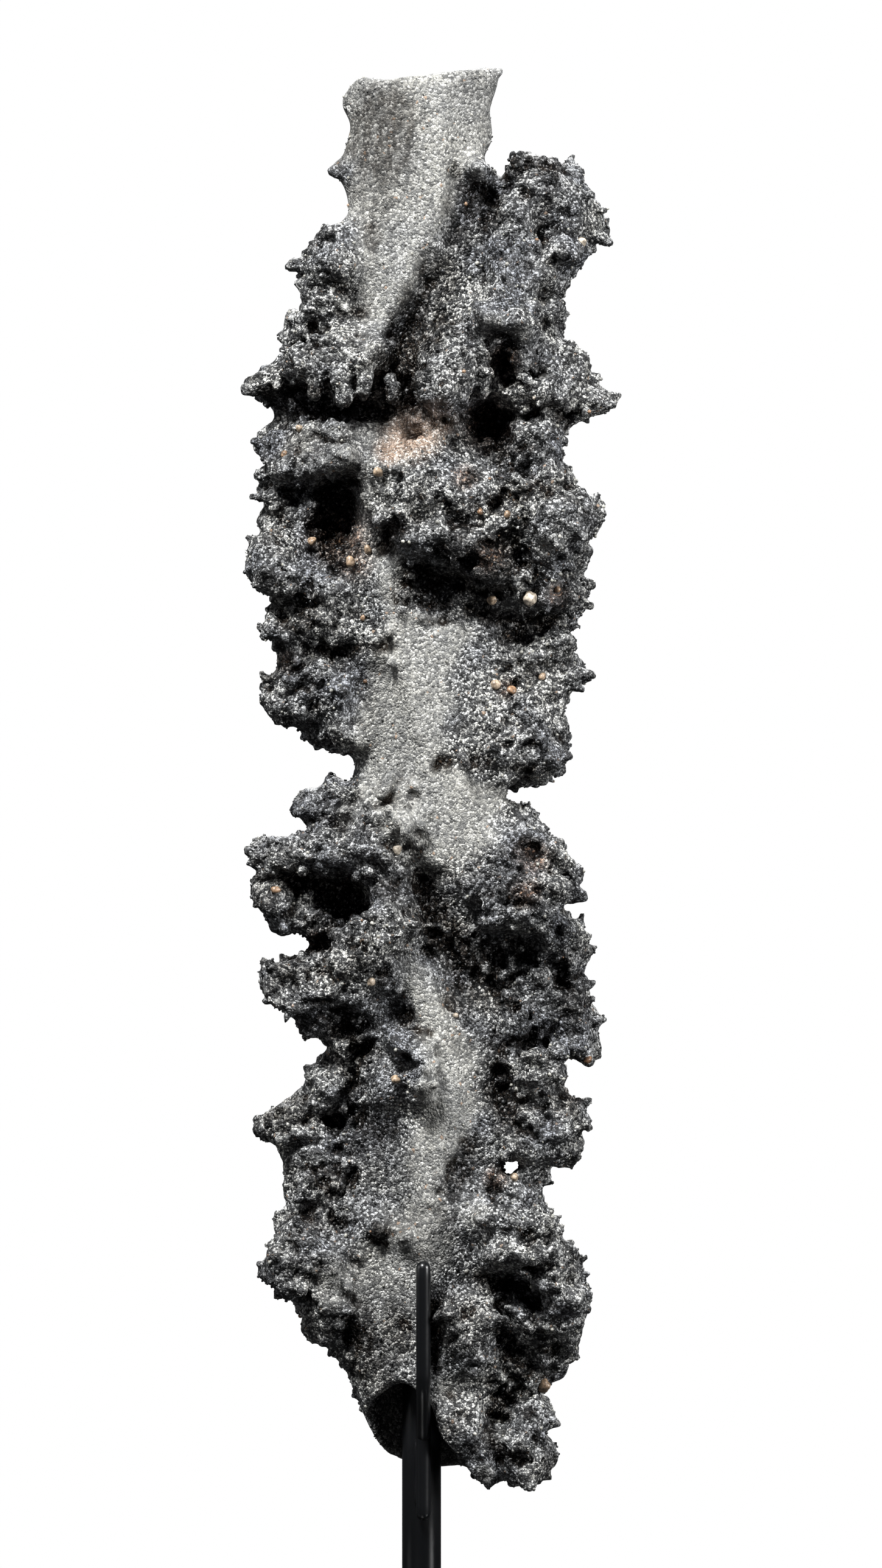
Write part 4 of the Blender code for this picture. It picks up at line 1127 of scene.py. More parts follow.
    # Gaps that cut into the rims: (x, height, radius), from the top down.
    rim_gaps: Table = (
        (22.9, 216.3, 0.5), (10.1, 215.6, 0.6), (13, 214, 1.05), (28.1, 202.1, 0.9),
        (-18.7, 200, 0.8), (22.7, 196.4, 0.95), (-19, 193.6, 0.5), (-20, 190.8, 0.65),
        (22.1, 188.7, 0.65), (-22.4, 185.7, 0.75), (26.6, 183.5, 0.5), (27.9, 181.8, 0.45),
        (29.2, 179.2, 0.65), (-24.8, 172.8, 0.5), (22.4, 169.6, 0.6), (-25.8, 166.9, 0.7),
        (-26.8, 163.2, 0.8), (-27.3, 159.1, 0.5), (-26.7, 154.3, 0.5), (26.3, 154.1, 0.7),
        (27.2, 148.4, 0.55), (27.3, 145.4, 0.8), (-25.1, 144.2, 0.7), (-25.4, 141.6, 0.6),
        (24.6, 139, 0.5), (24.8, 136.6, 0.5), (23.7, 128.9, 0.85), (-24.3, 127.7, 0.7),
        (23.8, 123.8, 0.45), (24.3, 120.6, 0.5), (-12.4, 116.4, 1.6), (18.3, 115.3, 0.7),
        (-16.7, 113.1, 0.75), (15.3, 112.7, 1.7), (18.2, 107.8, 0.5), (-19.8, 107.5, 1.35),
        (23.7, 103.2, 0.6), (-28.2, 102.7, 0.5), (-27.3, 100, 0.7), (24.6, 94.2, 1.6),
        (-25.4, 93.8, 0.55), (-20.8, 88.3, 1.9), (26.9, 87.5, 0.5), (-24.2, 85.5, 0.45),
        (27.7, 80.3, 0.55), (-23.7, 78.9, 0.55), (-16.7, 72, 1.3), (28.1, 70.8, 0.6),
        (20.6, 68.6, 0.7), (-18.2, 66, 0.8), (20.4, 65.8, 0.55), (25.4, 57.3, 0.65),
        (-24.9, 57.2, 0.5), (21.1, 50.7, 0.45), (-21.5, 46.1, 0.45), (21.7, 43.6, 0.45),
        (22.9, 40.6, 0.8), (-25.2, 37.7, 0.5), (-23.7, 32.7, 0.7), (27.4, 29.1, 0.5),
        (19.9, 14.8, 0.6), (20.7, 8.7, 0.85), (-21, 136.5, 0.95), (14.5, 52.3, 1.5),
    )
    # Lumps that close up what the plain solid undercuts too far: (x, height, half width,
    # half height, y of the front).
    fills: Table = (
        (13.5, 187.8, 4, 2.6, -8), (18.5, 188, 3, 3, -6.5), (9.2, 187.5, 2.5, 2.5, -8.5),
        (23.5, 200.8, 4, 2.8, -6), (21, 197, 3.5, 3, -6), (20.5, 153, 4.5, 5.5, -7.5),
        (21.5, 145.5, 4.5, 3.6, -6.5), (22, 137.3, 3.5, 2.8, -6), (-3.6, 107.3, 2.8, 2.5, -12),
        (18, 92.2, 6, 2.4, -8), (12.5, 92, 3, 2.2, -8.5), (9.5, 95.2, 2.5, 1.8, -8.5),
        (19.5, 67, 4, 3, -6.5), (-0.2, 66.5, 2.6, 5, -11.5), (17.5, 177, 6, 2.4, -7.5),
        (24.5, 176.2, 3, 1.6, -5.5), (-6.8, 184, 2.2, 3.3, -10.5), (-13.5, 166, 6.5, 2, -8.5),
        (-21, 165.3, 4.5, 2.3, -6.5), (18.3, 81, 4, 2.3, -6.5), (-17.8, 189.9, 3, 1.9, -6.5),
        (19.5, 54.5, 3.5, 2.4, -6.5), (16.5, 47.6, 2.6, 1.8, -7.5), (17.5, 118.5, 3.5, 1.6, -7),
        (-5, 157.6, 2.4, 1.8, -8.5), (20.5, 36, 4.5, 3.2, -7.5), (21, 28.5, 4, 3.6, -7),
        (14, 37, 4.5, 2.2, -8.5), (9.2, 214, 2.2, 1.7, -8.5), (24.4, 100, 2.5, 1.8, -5),
        (-11.5, 121.4, 3, 1.6, -7), (-19.8, 148.4, 3, 2, -6.5), (2, 200, 2.2, 3.2, -9.5),
        (22.8, 163.8, 2.5, 2, -6), (15.8, 28.6, 3.4, 3.4, -8.2), (17.8, 65.2, 2.5, 2.4, -8.5),
    )
    fill_depth_mm: float = 5.0
    # Knobs on the front: (x, height, radius) at the root, then at the tip, then y.
    spikes: Table = (
        (0.2, 124.5, 0.7, -0.6, 122.3, 0.9, -9), (6.5, 119, 1, 7.5, 117.5, 1, -10),
        (-12, 112.5, 1.6, -14.5, 113.5, 1.2, -6), (-6.5, 113, 1.2, -5, 115.5, 1.1, -10),
        (-17, 180.5, 1.6, -17.2, 178, 1.4, -9.5), (-13, 180.5, 1.7, -12.6, 176.6, 1.7, -11),
        (-9, 181, 1.5, -9.3, 178, 1.3, -11.5), (-5, 180, 1.4, -4.6, 177, 1.3, -12),
        (3.5, 182, 2, 4.5, 177.8, 1.8, -12), (0, 180, 1.5, 0.4, 177, 1.3, -12),
    )

    def build(self, solid: Object) -> list[Object]:
        """Grow the skin over the plain solid.

        Args:
            solid: the stone's CAD object, which is only read.

        Returns:
            The skin's pieces, which replace the solid.
        """
        rng = np.random.default_rng(self.seed)
        shell = fused([self._welded(solid), self._fills()], self.coarse_voxel_mm, smooth=2)
        shell = self._bitten(shell)
        self.outline = Outline.of(*shell, rng)
        shell = self._recessed(*shell)
        lumpy = fused([shell, self._clusters(*shell, rng)], self.coarse_voxel_mm)
        knobs = self._knobs(*lumpy, rng)
        fingers = self._fingers(*lumpy, rng)
        parts = [lumpy, knobs, fingers, self._spikes(rng), self._tips(rng)]
        points, triangles = fused(parts, self.fine_voxel_mm, smooth=1)
        LOG.info("stone skin: %d triangles", len(triangles))
        points = self._wrinkled(points, triangles)
        return self._pieces(points, triangles)

    def _welded(self, solid: Object) -> Surface:
        """Copy the solid, with its split points joined up again."""
        mesh = solid.data.copy()
        bm = bmesh.new()
        bm.from_mesh(mesh)
        bmesh.ops.remove_doubles(bm, verts=bm.verts, dist=0.001 * MM)
        bm.to_mesh(mesh)
        bm.free()
        return arrays_of(mesh)

    def _fills(self) -> Surface:
        """Make the lumps that close up the undercuts."""
        rows = np.array(self.fills)
        half_depth = self.fill_depth_mm / 2.0
        centres = np.column_stack(
            [rows[:, 0], rows[:, 4] + half_depth, self.map.foot_z / MM + rows[:, 1]]
        )
        radii = np.column_stack([rows[:, 2], np.full(len(rows), half_depth), rows[:, 3]])
        frames = np.tile(np.eye(3), (len(rows), 1, 1))
        return scattered_balls(Ball.PEBBLE, centres * MM, frames, radii * MM)

    def _bitten(self, shell: Surface) -> Surface:
        """Cut the gaps out of the rims, and the windows right through the flanges."""
        count, reach = self.gap_sides, self.gap_reach_mm * MM
        turn = np.linspace(0.0, 2.0 * math.pi, count + 1)[:-1]
        faces = [(i, count + i, count + (i + 1) % count) for i in range(count)]
        faces += [(i, count + (i + 1) % count, (i + 1) % count) for i in range(count)]
        faces += [(0, i, i + 1) for i in range(1, count - 1)]
        faces += [(count, count + i + 1, count + i) for i in range(1, count - 1)]
        rods = []
        for x, height, radius in self.rim_gaps:
            size = self.gap_scale * radius * MM
            ring = np.zeros((count, 3))
            ring[:, 0] = x * MM + size * np.cos(turn)
            ring[:, 2] = self.map.foot_z + height * MM + size * np.sin(turn)
            front, back = ring.copy(), ring.copy()
            front[:, 1], back[:, 1] = -reach, reach
            rods.append((np.concatenate([front, back]), np.array(faces)))
        return cut_away(shell, rods)

    def _recessed(self, points: Array, triangles: Array) -> Surface:
        """Set the knobby faces back, to make room for the knobs, and carve the caves."""
        normals = point_normals(points, triangles)
        moved = self.map.carved(points, normals)
        growth = self.map.knobby(points) * ~self._bare(points, normals)
        thick = ramp_up(*self.recess_fade_mm, np.abs(points[:, 1]) / MM)
        back = self.recess_mm - self.crest_mm * (self.map.crests(points) - self.crest_middle)
        facing = np.sign(normals[:, 1]) * ramp_up(*self.facing_fade, np.abs(normals[:, 1]))
        moved[:, 1] -= facing * (growth * thick * back * MM)
        return moved, triangles

    def _bare(self, points: Array, normals: Array) -> Array:
        """Say where nothing grows: in the hollow, and under the stand's finger."""
        by_finger = (
            (np.abs(points[:, 0]) < self.finger_half_mm * MM) & (points[:, 1] < 0.0)
            & (self.map.height(points) < self.finger_top_mm)
        )
        return self.map.inside(points, normals) | by_finger

    def _seats(
        self, points: Array, triangles: Array, growth: Growth,
        rng: Random,
    ) -> tuple[Array, Array]:
        """Draw places for blobs, no two closer than their spacing.

        Args:
            points: the surface's points.
            triangles: its triangles.
            growth: how the blobs grow.
            rng: the source of the draws.

        Returns:
            The places and the surface's normals there.
        """
        middles = points[triangles].mean(axis=1)
        normals = triangle_normals(points, triangles)
        weight = self.map.knobby(middles) * ~self._bare(middles, normals)
        rim = ramp_up(*self.rim_fade, np.hypot(normals[:, 0], normals[:, 2]))
        edge = np.maximum(rim, ramp_up(*self.crest_fade, self.map.crests(middles)))
        weight *= growth.elsewhere + edge
        count = int(self.draws_a_spacing / growth.spacing_mm**2)
        places, ups = sample_surface(points, triangles, weight, count, rng)
        kept = spaced(places, growth.spacing_mm * MM)
        return places[kept], ups[kept]

    def _balls(
        self, centres: Array, ups: Array, radii: Array, ball: Ball,
        rng: Random,
    ) -> Surface:
        """Make balls, and shrink or leave out those that would spoil the outline."""
        room = self.outline.inset(centres) + rng.uniform(*self.overhang_mm, len(centres)) * MM
        scale = np.minimum(1.0, room / radii.max(axis=1))
        kept = scale * radii.min(axis=1) > self.least_radius_mm * MM
        radii = (radii * scale[:, None])[kept]
        return scattered_balls(ball, centres[kept], frames_along(ups[kept], rng), radii)

    def _spikes(self, rng: Random) -> Surface:
        """Make the knobs on the front, each a row of balls from its root to its tip."""
        centres, radii = [], []
        for x1, height1, radius1, x2, height2, radius2, y in self.spikes:
            length = math.hypot(x2 - x1, height2 - height1)
            steps = max(2, round(length / self.spike_step_mm))
            for step in range(steps + 1):
                share = step / steps
                wobble = rng.normal(size=3) * self.spike_jitter_mm
                centres.append((
                    (x1 + (x2 - x1) * share + wobble[0]) * MM, (y + wobble[1]) * MM,
                    self.map.foot_z + (height1 + (height2 - height1) * share + wobble[2]) * MM,
                ))
                radius = radius1 + (radius2 - radius1) * share
                radii.append(radius * MM * rng.uniform(*self.spike_stretch, 3))
        return tumbled_balls(centres, radii, rng)

    def _tips(self, rng: Random) -> Surface:
        """Make the stubby tips on the rims, each a row of balls that leads into the stone."""
        centres, radii = [], []
        for x, height, radius in self.rim_tips:
            place = np.array([x * MM, 0.0, self.map.foot_z + height * MM])
            inward = self.outline.inward(place)
            y = rng.uniform(*self.tip_y_mm) * MM
            for step in range(self.tip_balls):
                along = radius * self.tip_start + self.tip_step_mm * step
                centre = place + inward * along * MM
                centre += rng.normal(size=3) * self.tip_jitter_mm * MM
                centre[1] = y
                centres.append(centre)
                size = self.tip_scale * radius + self.tip_growth_mm * step
                radii.append(size * MM * rng.uniform(*self.tip_stretch, 3))
        return tumbled_balls(centres, radii, rng)

    def _sunk(
        self, ups: Array, radius: Array, growth: Growth, rng: Random,
        lower: Array | float = 0.0,
    ) -> Array:
        """Return how far the blobs' centres are from the surface, as moves along its normals.

        Args:
            ups: the surface's normals.
            radius: the blobs' radii.
            growth: how they grow.
            rng: the source of the draws.
            lower: how much lower they sit, in radii.

        Returns:
            The moves: less far out at the sides, to keep the outline.
        """
        side = ramp_up(*self.side_fade, np.hypot(ups[:, 0], ups[:, 2]))
        out = rng.uniform(*growth.out, len(ups)) - self.side_sink * side
        return ups * (radius * (out - lower))[:, None]

    def _clusters(self, points: Array, triangles: Array, rng: Random) -> Surface:
        """Make the big round clusters."""
        growth = self.cluster
        places, ups = self._seats(points, triangles, growth, rng)
        rough = self.map.knobby(places) > self.least_knobby
        places, ups = places[rough], ups[rough]
        radius = rng.uniform(*growth.radius_mm, len(places)) * MM
        radii = radius[:, None] * rng.uniform(*growth.stretch, (len(places), 3))
        radii[:, 2] *= self.cluster_height
        centres = places + self._sunk(ups, radius, growth, rng)
        return self._balls(centres, ups, radii, Ball.PEBBLE, rng)

    def _knobs(self, points: Array, triangles: Array, rng: Random) -> Surface:
        """Make the small round knobs that cover the clusters."""
        growth = self.knob
        places, ups = self._seats(points, triangles, growth, rng)
        low, high = growth.radius_mm
        radius = (low + (high - low) * rng.random(len(places)) ** self.knob_bias) * MM
        radii = radius[:, None] * rng.uniform(*growth.stretch, (len(places), 3))
        flat = self.flat_depth * ramp_up(*self.flat_fade, waves(places, *self.flat_wave))
        centres = places + self._sunk(ups, radius, growth, rng, flat)
        return self._balls(centres, ups, radii, Ball.KNOB, rng)

    def _fingers(self, points: Array, triangles: Array, rng: Random) -> Surface:
        """Make the stubby fingers, each of three balls in a crooked row."""
        growth = self.finger
        places, ups = self._seats(points, triangles, growth, rng)
        radius = rng.uniform(*growth.radius_mm, len(places)) * MM
        balls = []
        centres = places + self._sunk(ups, radius, growth, rng)
        lean = ups
        for size in self.finger_sizes:
            lean = lean + self.finger_lean * rng.normal(size=ups.shape)
            lean /= np.linalg.norm(lean, axis=1, keepdims=True)
            radii = radius[:, None] * size * rng.uniform(*growth.stretch, (len(places), 3))
            balls.append(self._balls(centres, lean, radii, Ball.KNOB, rng))
            centres = centres + lean * (radius * self.finger_step)[:, None]
        return joined(balls)

    def _wrinkled(self, points: Array, triangles: Array) -> Array:
        """Roughen the skin a little below the size of the knobs."""
        normals = point_normals(points, triangles)
        least, more = self.wrinkle_mm
        depth = least + more * self.map.knobby(points)
        length = self.wrinkle_length_mm * MM
        coarse = np.array([noise.noise(Vector(p) / length) for p in points])
        return points + normals * (coarse * depth * MM)[:, None]

    def _shade(self, points: Array, normals: Array, crowd: Array, sunk: Array) -> Array:
        """Return the painted shade at each point: in caves, creases and gaps, and inside the
        hollow.
        """
        gaps = sum(
            most * ramp_up(low, high, value)
            for (most, low, high), value in (
                (self.gap_shade, crowd), (self.crease_shade, sunk / MM)
            )
        )
        hollow = self.hollow_shade * self.map.inside(points, normals)
        return np.clip(np.maximum(self.map.shade(points) + gaps, hollow), 0.0, 1.0)

    def _pieces(self, points: Array, triangles: Array) -> list[Object]:
        """Cut the skin into level slices with few enough triangles, and mark each one."""
        normals = point_normals(points, triangles)
        crowd = crowding(points, normals)
        sunk = sunkenness(points, triangles, normals)
        marks = {
            "pale": self.map.pale(points),
            "brown": self.map.near(self.map.brown_spots, points),
            "sandy": self.map.near(self.map.sandy_recess, points),
            "shade": self._shade(points, normals, crowd, sunk),
            "tip": self.map.knobby(points) * ramp_up(*self.clear_fade, crowd),
        }
        order = np.argsort(points[triangles[:, 0], 2])
        count = math.ceil(len(triangles) / self.most_triangles)
        built = []
        for number, part in enumerate(np.array_split(order, count), start=1):
            used, faces = np.unique(triangles[part], return_inverse=True)
            mesh = mesh_of(f"fulgurite_skin_{number}", points[used], faces.reshape(-1, 3))
            mesh.normals_split_custom_set_from_vertices(normals[used].tolist())
            for name, values in marks.items():
                set_attribute(mesh, name, values[used])
            built.append(add_object(mesh.name, mesh))
        return built


def fused(parts: list[Surface], voxel_mm: float, smooth: int = 0) -> Surface:
    """Fuse surfaces into one closed skin of even faces.

    Args:
        parts: the surfaces.
        voxel_mm: the size of the faces.
        smooth: how often to smooth the result.

    Returns:
        The fused surface.
    """
    points, triangles = joined(parts)
    item = add_object("to_fuse", mesh_of("to_fuse", points, triangles))
    remesh = item.modifiers.new("Fuse", "REMESH")
    remesh.mode = "VOXEL"
    remesh.voxel_size = voxel_mm * MM
    if smooth:
        soften = item.modifiers.new("Soften", "SMOOTH")
        soften.factor = SOFTENING
        soften.iterations = smooth
    return arrays_of(with_modifiers_applied(item))


def point_normals(points: Array, triangles: Array) -> Array:
    """Return the unit normal at each point of a surface."""
    a, b, c = (points[triangles[:, i]] for i in range(3))
    across = np.cross(b - a, c - a)
    normals = np.zeros_like(points)
    for i in range(3):
        for axis in range(3):
            normals[:, axis] += np.bincount(triangles[:, i], across[:, axis], len(points))
    return normals / (np.linalg.norm(normals, axis=1, keepdims=True) + 1e-15)


def spaced(places: Array, spacing: float) -> Array:
    """Pick places, in their order, that are at least a spacing from those picked before."""
    cells: dict[tuple[int, ...], list[int]] = {}
    keys = np.floor(places / spacing).astype(int)
    steps = [(i, j, k) for i in (-1, 0, 1) for j in (-1, 0, 1) for k in (-1, 0, 1)]
    rows = places.tolist()
    kept = []
    for number, (x, y, z) in enumerate(rows):
        key = keys[number]
        free = True
        for i, j, k in steps:
            for other in cells.get((key[0] + i, key[1] + j, key[2] + k), ()):
                ox, oy, oz = rows[other]
                if (x - ox) ** 2 + (y - oy) ** 2 + (z - oz) ** 2 < spacing * spacing:
                    free = False
                    break
            if not free:
                break
        if free:
            cells.setdefault(tuple(key), []).append(number)
            kept.append(number)
    return np.array(kept)


def crowding(points: Array, normals: Array) -> Array:
    """Return how crowded the space just off the surface is with other surface.

    Args:
        points: the surface's points, evenly spread.
        normals: its normals.

    Returns:
        About 0 on tips that stand clear, and 1 in narrow gaps.
    """
    cell, margin, reach, full = 1.0 * MM, 6.0 * MM, 2.6 * MM, 97
    low = points.min(axis=0) - margin
    size = np.ceil((points.max(axis=0) - low + margin) / cell).astype(int)
    index = ((points - low) / cell).astype(int)
    flat = np.ravel_multi_index(index.T, size)
    grid = np.bincount(flat, minlength=int(size.prod())).astype(float).reshape(size)
    for axis in range(3):
        total = grid.copy()
        for shift in (1, 2):
            total += np.roll(grid, shift, axis) + np.roll(grid, -shift, axis)
        grid = total
    off = points + normals * reach
    index = ((off - low) / cell).astype(int)
    value = grid[index[:, 0], index[:, 1], index[:, 2]]
    return value / np.percentile(grid[grid > 0], full)


def sunkenness(points: Array, triangles: Array, normals: Array, rounds: int = 6) -> Array:
    """Return how far each point lies below a smoothed surface: high in creases and pits."""
    count = len(points)
    starts = np.concatenate([triangles[:, i] for i in range(3)])
    ends = np.concatenate([triangles[:, (i + 1) % 3] for i in range(3)])
    degree = np.bincount(starts, minlength=count)[:, None] + 1e-9
    eased = points.astype(float)
    for _ in range(rounds):
        eased = np.stack(
            [np.bincount(starts, eased[ends, axis], count) for axis in range(3)], axis=1
        ) / degree
    return ((eased - points) * normals).sum(axis=1)


def triangle_normals(points: Array, triangles: Array) -> Array:
    """Return the unit normal of each triangle."""
    a, b, c = (points[triangles[:, i]] for i in range(3))
    normals = np.cross(b - a, c - a)
    return normals / (np.linalg.norm(normals, axis=1, keepdims=True) + 1e-15)


def sample_surface(
    points: Array, triangles: Array, weight: Array, count: int,
    rng: Random,
) -> tuple[Array, Array]:
    """Draw places on a surface, more where the weight is high.

    Args:
        points: the surface's points.
        triangles: its triangles.
        weight: one number for each triangle, which its area multiplies.
        count: how many places to draw.
        rng: the source of the draws.

    Returns:
        The places and the surface's normals there.
    """
    a, b, c = (points[triangles[:, i]] for i in range(3))
    areas = np.linalg.norm(np.cross(b - a, c - a), axis=1) / 2.0
    chances = areas * weight
    picks = rng.choice(len(triangles), size=count, p=chances / chances.sum())
    u, v = rng.random(count), rng.random(count)
    flip = u + v > 1.0
    u[flip], v[flip] = 1.0 - u[flip], 1.0 - v[flip]
    a, b, c = a[picks], b[picks], c[picks]
    places = a + (b - a) * u[:, None] + (c - a) * v[:, None]
    return places, triangle_normals(points, triangles)[picks]


def joined(parts: list[Surface]) -> Surface:
    """Put several surfaces into one."""
    starts = np.cumsum([0] + [len(points) for points, _ in parts[:-1]])
    points = np.concatenate([points for points, _ in parts])
    triangles = np.concatenate([faces + start for (_, faces), start in zip(parts, starts)])
    return points, triangles


@dataclass
class SandGrains:
    """Loose quartz grains set all over the skin, in a few pieces of equal size."""

    map: StoneMap
    pieces: int = 2
    grains_a_piece: int = 4000
    radius_mm: Span = (0.16, 0.4)
    radius_bias: float = 2.0
    stretch: Span = (0.75, 1.15)
    out: Span = (-0.1, 0.45)
    share_in_hollow: float = 0.1
    smaller_on_pale: float = 0.35
    # Painted shade darkens grains in the caves by up to this share.
    painted_cave_shade: float = 0.7
    # Tones on the pale skin, (least, spread), on the dark skin, and of the few tan grains.
    pale_tones: Span = (0.35, 0.58)
    dark_tones: float = 0.9
    tan_share: float = 0.006
    tan_tones: Span = (0.97, 1.0)
    seed: int = 23

    def build(self, skin: list[Object]) -> list[Object]:
        """Scatter the grains over the skin.

        Args:
            skin: the stone's skin.

        Returns:
            The grain pieces.
        """
        points, triangles = joined([arrays_of(piece.data) for piece in skin])
        rng = np.random.default_rng(self.seed)
        middles = points[triangles].mean(axis=1)
        normals = triangle_normals(points, triangles)
        weight = np.where(self.map.inside(middles, normals), self.share_in_hollow, 1.0)
        built = []
        for number in range(1, self.pieces + 1):
            built.append(self._piece(number, points, triangles, weight, rng))
        return built

    def _piece(
        self, number: int, points: Array, triangles: Array, weight: Array,
        rng: Random,
    ) -> Object:
        """Make one piece of grains."""
        count = self.grains_a_piece
        places, normals = sample_surface(points, triangles, weight, count, rng)
        low, high = self.radius_mm
        radius = (low + (high - low) * rng.random(count) ** self.radius_bias) * MM
        pale = self.map.pale(places)
        radius *= 1.0 - self.smaller_on_pale * pale
        radii = radius[:, None] * rng.uniform(*self.stretch, (count, 3))
        centres = places + normals * (radius * rng.uniform(*self.out, count))[:, None]
        balls = scattered_balls(Ball.GRAIN, centres, frames_along(normals, rng), radii)
        mesh = mesh_of(f"sand_grains_{number}", *balls)
        # Painted shade from the caves darkens the tones drawn there.
        draw = rng.random(count) * (1.0 - self.painted_cave_shade * self.map.shade(places))
        least, spread = self.pale_tones
        tone = np.where(pale > 0.5, least + spread * draw, self.dark_tones * draw)
        stained = rng.random(count) < self.tan_share
        tone[stained] = rng.uniform(*self.tan_tones, int(stained.sum()))
        set_attribute(mesh, "tone", np.repeat(tone, len(mesh.vertices) // count))
        return add_object(mesh.name, mesh)


@dataclass
class SandPebbles:
    """The larger tan and cream pebbles, each at its own place on the front."""

    map: StoneMap
    # (x, height, radius, tone), from the top down.
    places: Table = (
        (26, 202.5, 0.75, 0.95), (-22.3, 168, 0.7, 0.5), (-19.8, 172.2, 0.75, 0.8),
        (-7, 164.8, 0.75, 0.75), (-17.8, 153.9, 0.7, 0.6), (-11.7, 150.5, 0.9, 0.65),
        (-8.7, 152.5, 0.75, 0.7), (-9.5, 141.4, 0.5, 0.5), (12.1, 130.6, 0.8, 0.8),
        (14.6, 129.7, 0.8, 0.35), (19.6, 131.9, 0.7, 0.7), (-9.1, 131.1, 0.45, 0.2),
        (11.5, 144.3, 0.9, 0.75), (17.5, 144.5, 1.2, 0.95), (22, 146, 0.6, 0.5),
        (-3.9, 103.9, 0.85, 0.98), (-23.7, 97.4, 0.75, 0.45), (-8.2, 82.5, 0.7, 0.85),
        (-4, 66.7, 0.8, 0.7), (27, 69.6, 0.7, 0.15), (15.1, 50.6, 0.75, 0.8),
        (19.7, 16.5, 1.3, 0.6), (14, 158, 0.7, 0.6), (9.5, 158.5, 0.6, 0.4), (5.5, 77, 0.5, 0.9),
    )
    stretch: Span = (0.75, 1.1)
    out: float = 0.1
    # Wear on each pebble: (share of its size, length, seed).
    wear: float = 0.13
    wear_wave: tuple[float, int] = (1.3, 77)
    seed: int = 5

    def build(self, skin: list[Object]) -> Object:
        """Set each pebble into the skin where a line straight from the front meets it.

        Args:
            skin: the stone's skin.

        Returns:
            The pebbles, as one piece.
        """
        points, triangles = joined([arrays_of(piece.data) for piece in skin])
        tree = BVHTree.FromPolygons(points.tolist(), triangles.tolist())
        rng = np.random.default_rng(self.seed)
        centres, normals, radii, tones = [], [], [], []
        for x, height, radius, tone in self.places:
            start = Vector((x * MM, -0.1, self.map.foot_z + height * MM))
            place, normal, _, _ = tree.ray_cast(start, Vector((0.0, 1.0, 0.0)))
            if place is None:
                LOG.info("no stone behind the pebble at %.1f, %.1f", x, height)
                continue
            centres.append(np.array(place) + np.array(normal) * radius * self.out * MM)
            normals.append(np.array(normal))
            radii.append(radius * MM * rng.uniform(*self.stretch, 3))
            tones.append(tone)
        frames = frames_along(np.array(normals), rng)
        points, triangles = scattered_balls(
            Ball.PEBBLE, np.array(centres), frames, np.array(radii)
        )
        middles = np.repeat(np.array(centres), len(points) // len(centres), axis=0)
        worn = 1.0 + self.wear * waves(points, *self.wear_wave)
        points = middles + (points - middles) * worn[:, None]
        mesh = mesh_of("sand_pebbles", points, triangles)
        set_attribute(mesh, "tone", np.repeat(np.array(tones), len(mesh.vertices) // len(tones)))
        return add_object("sand_pebbles", mesh)


# --- The stand ---


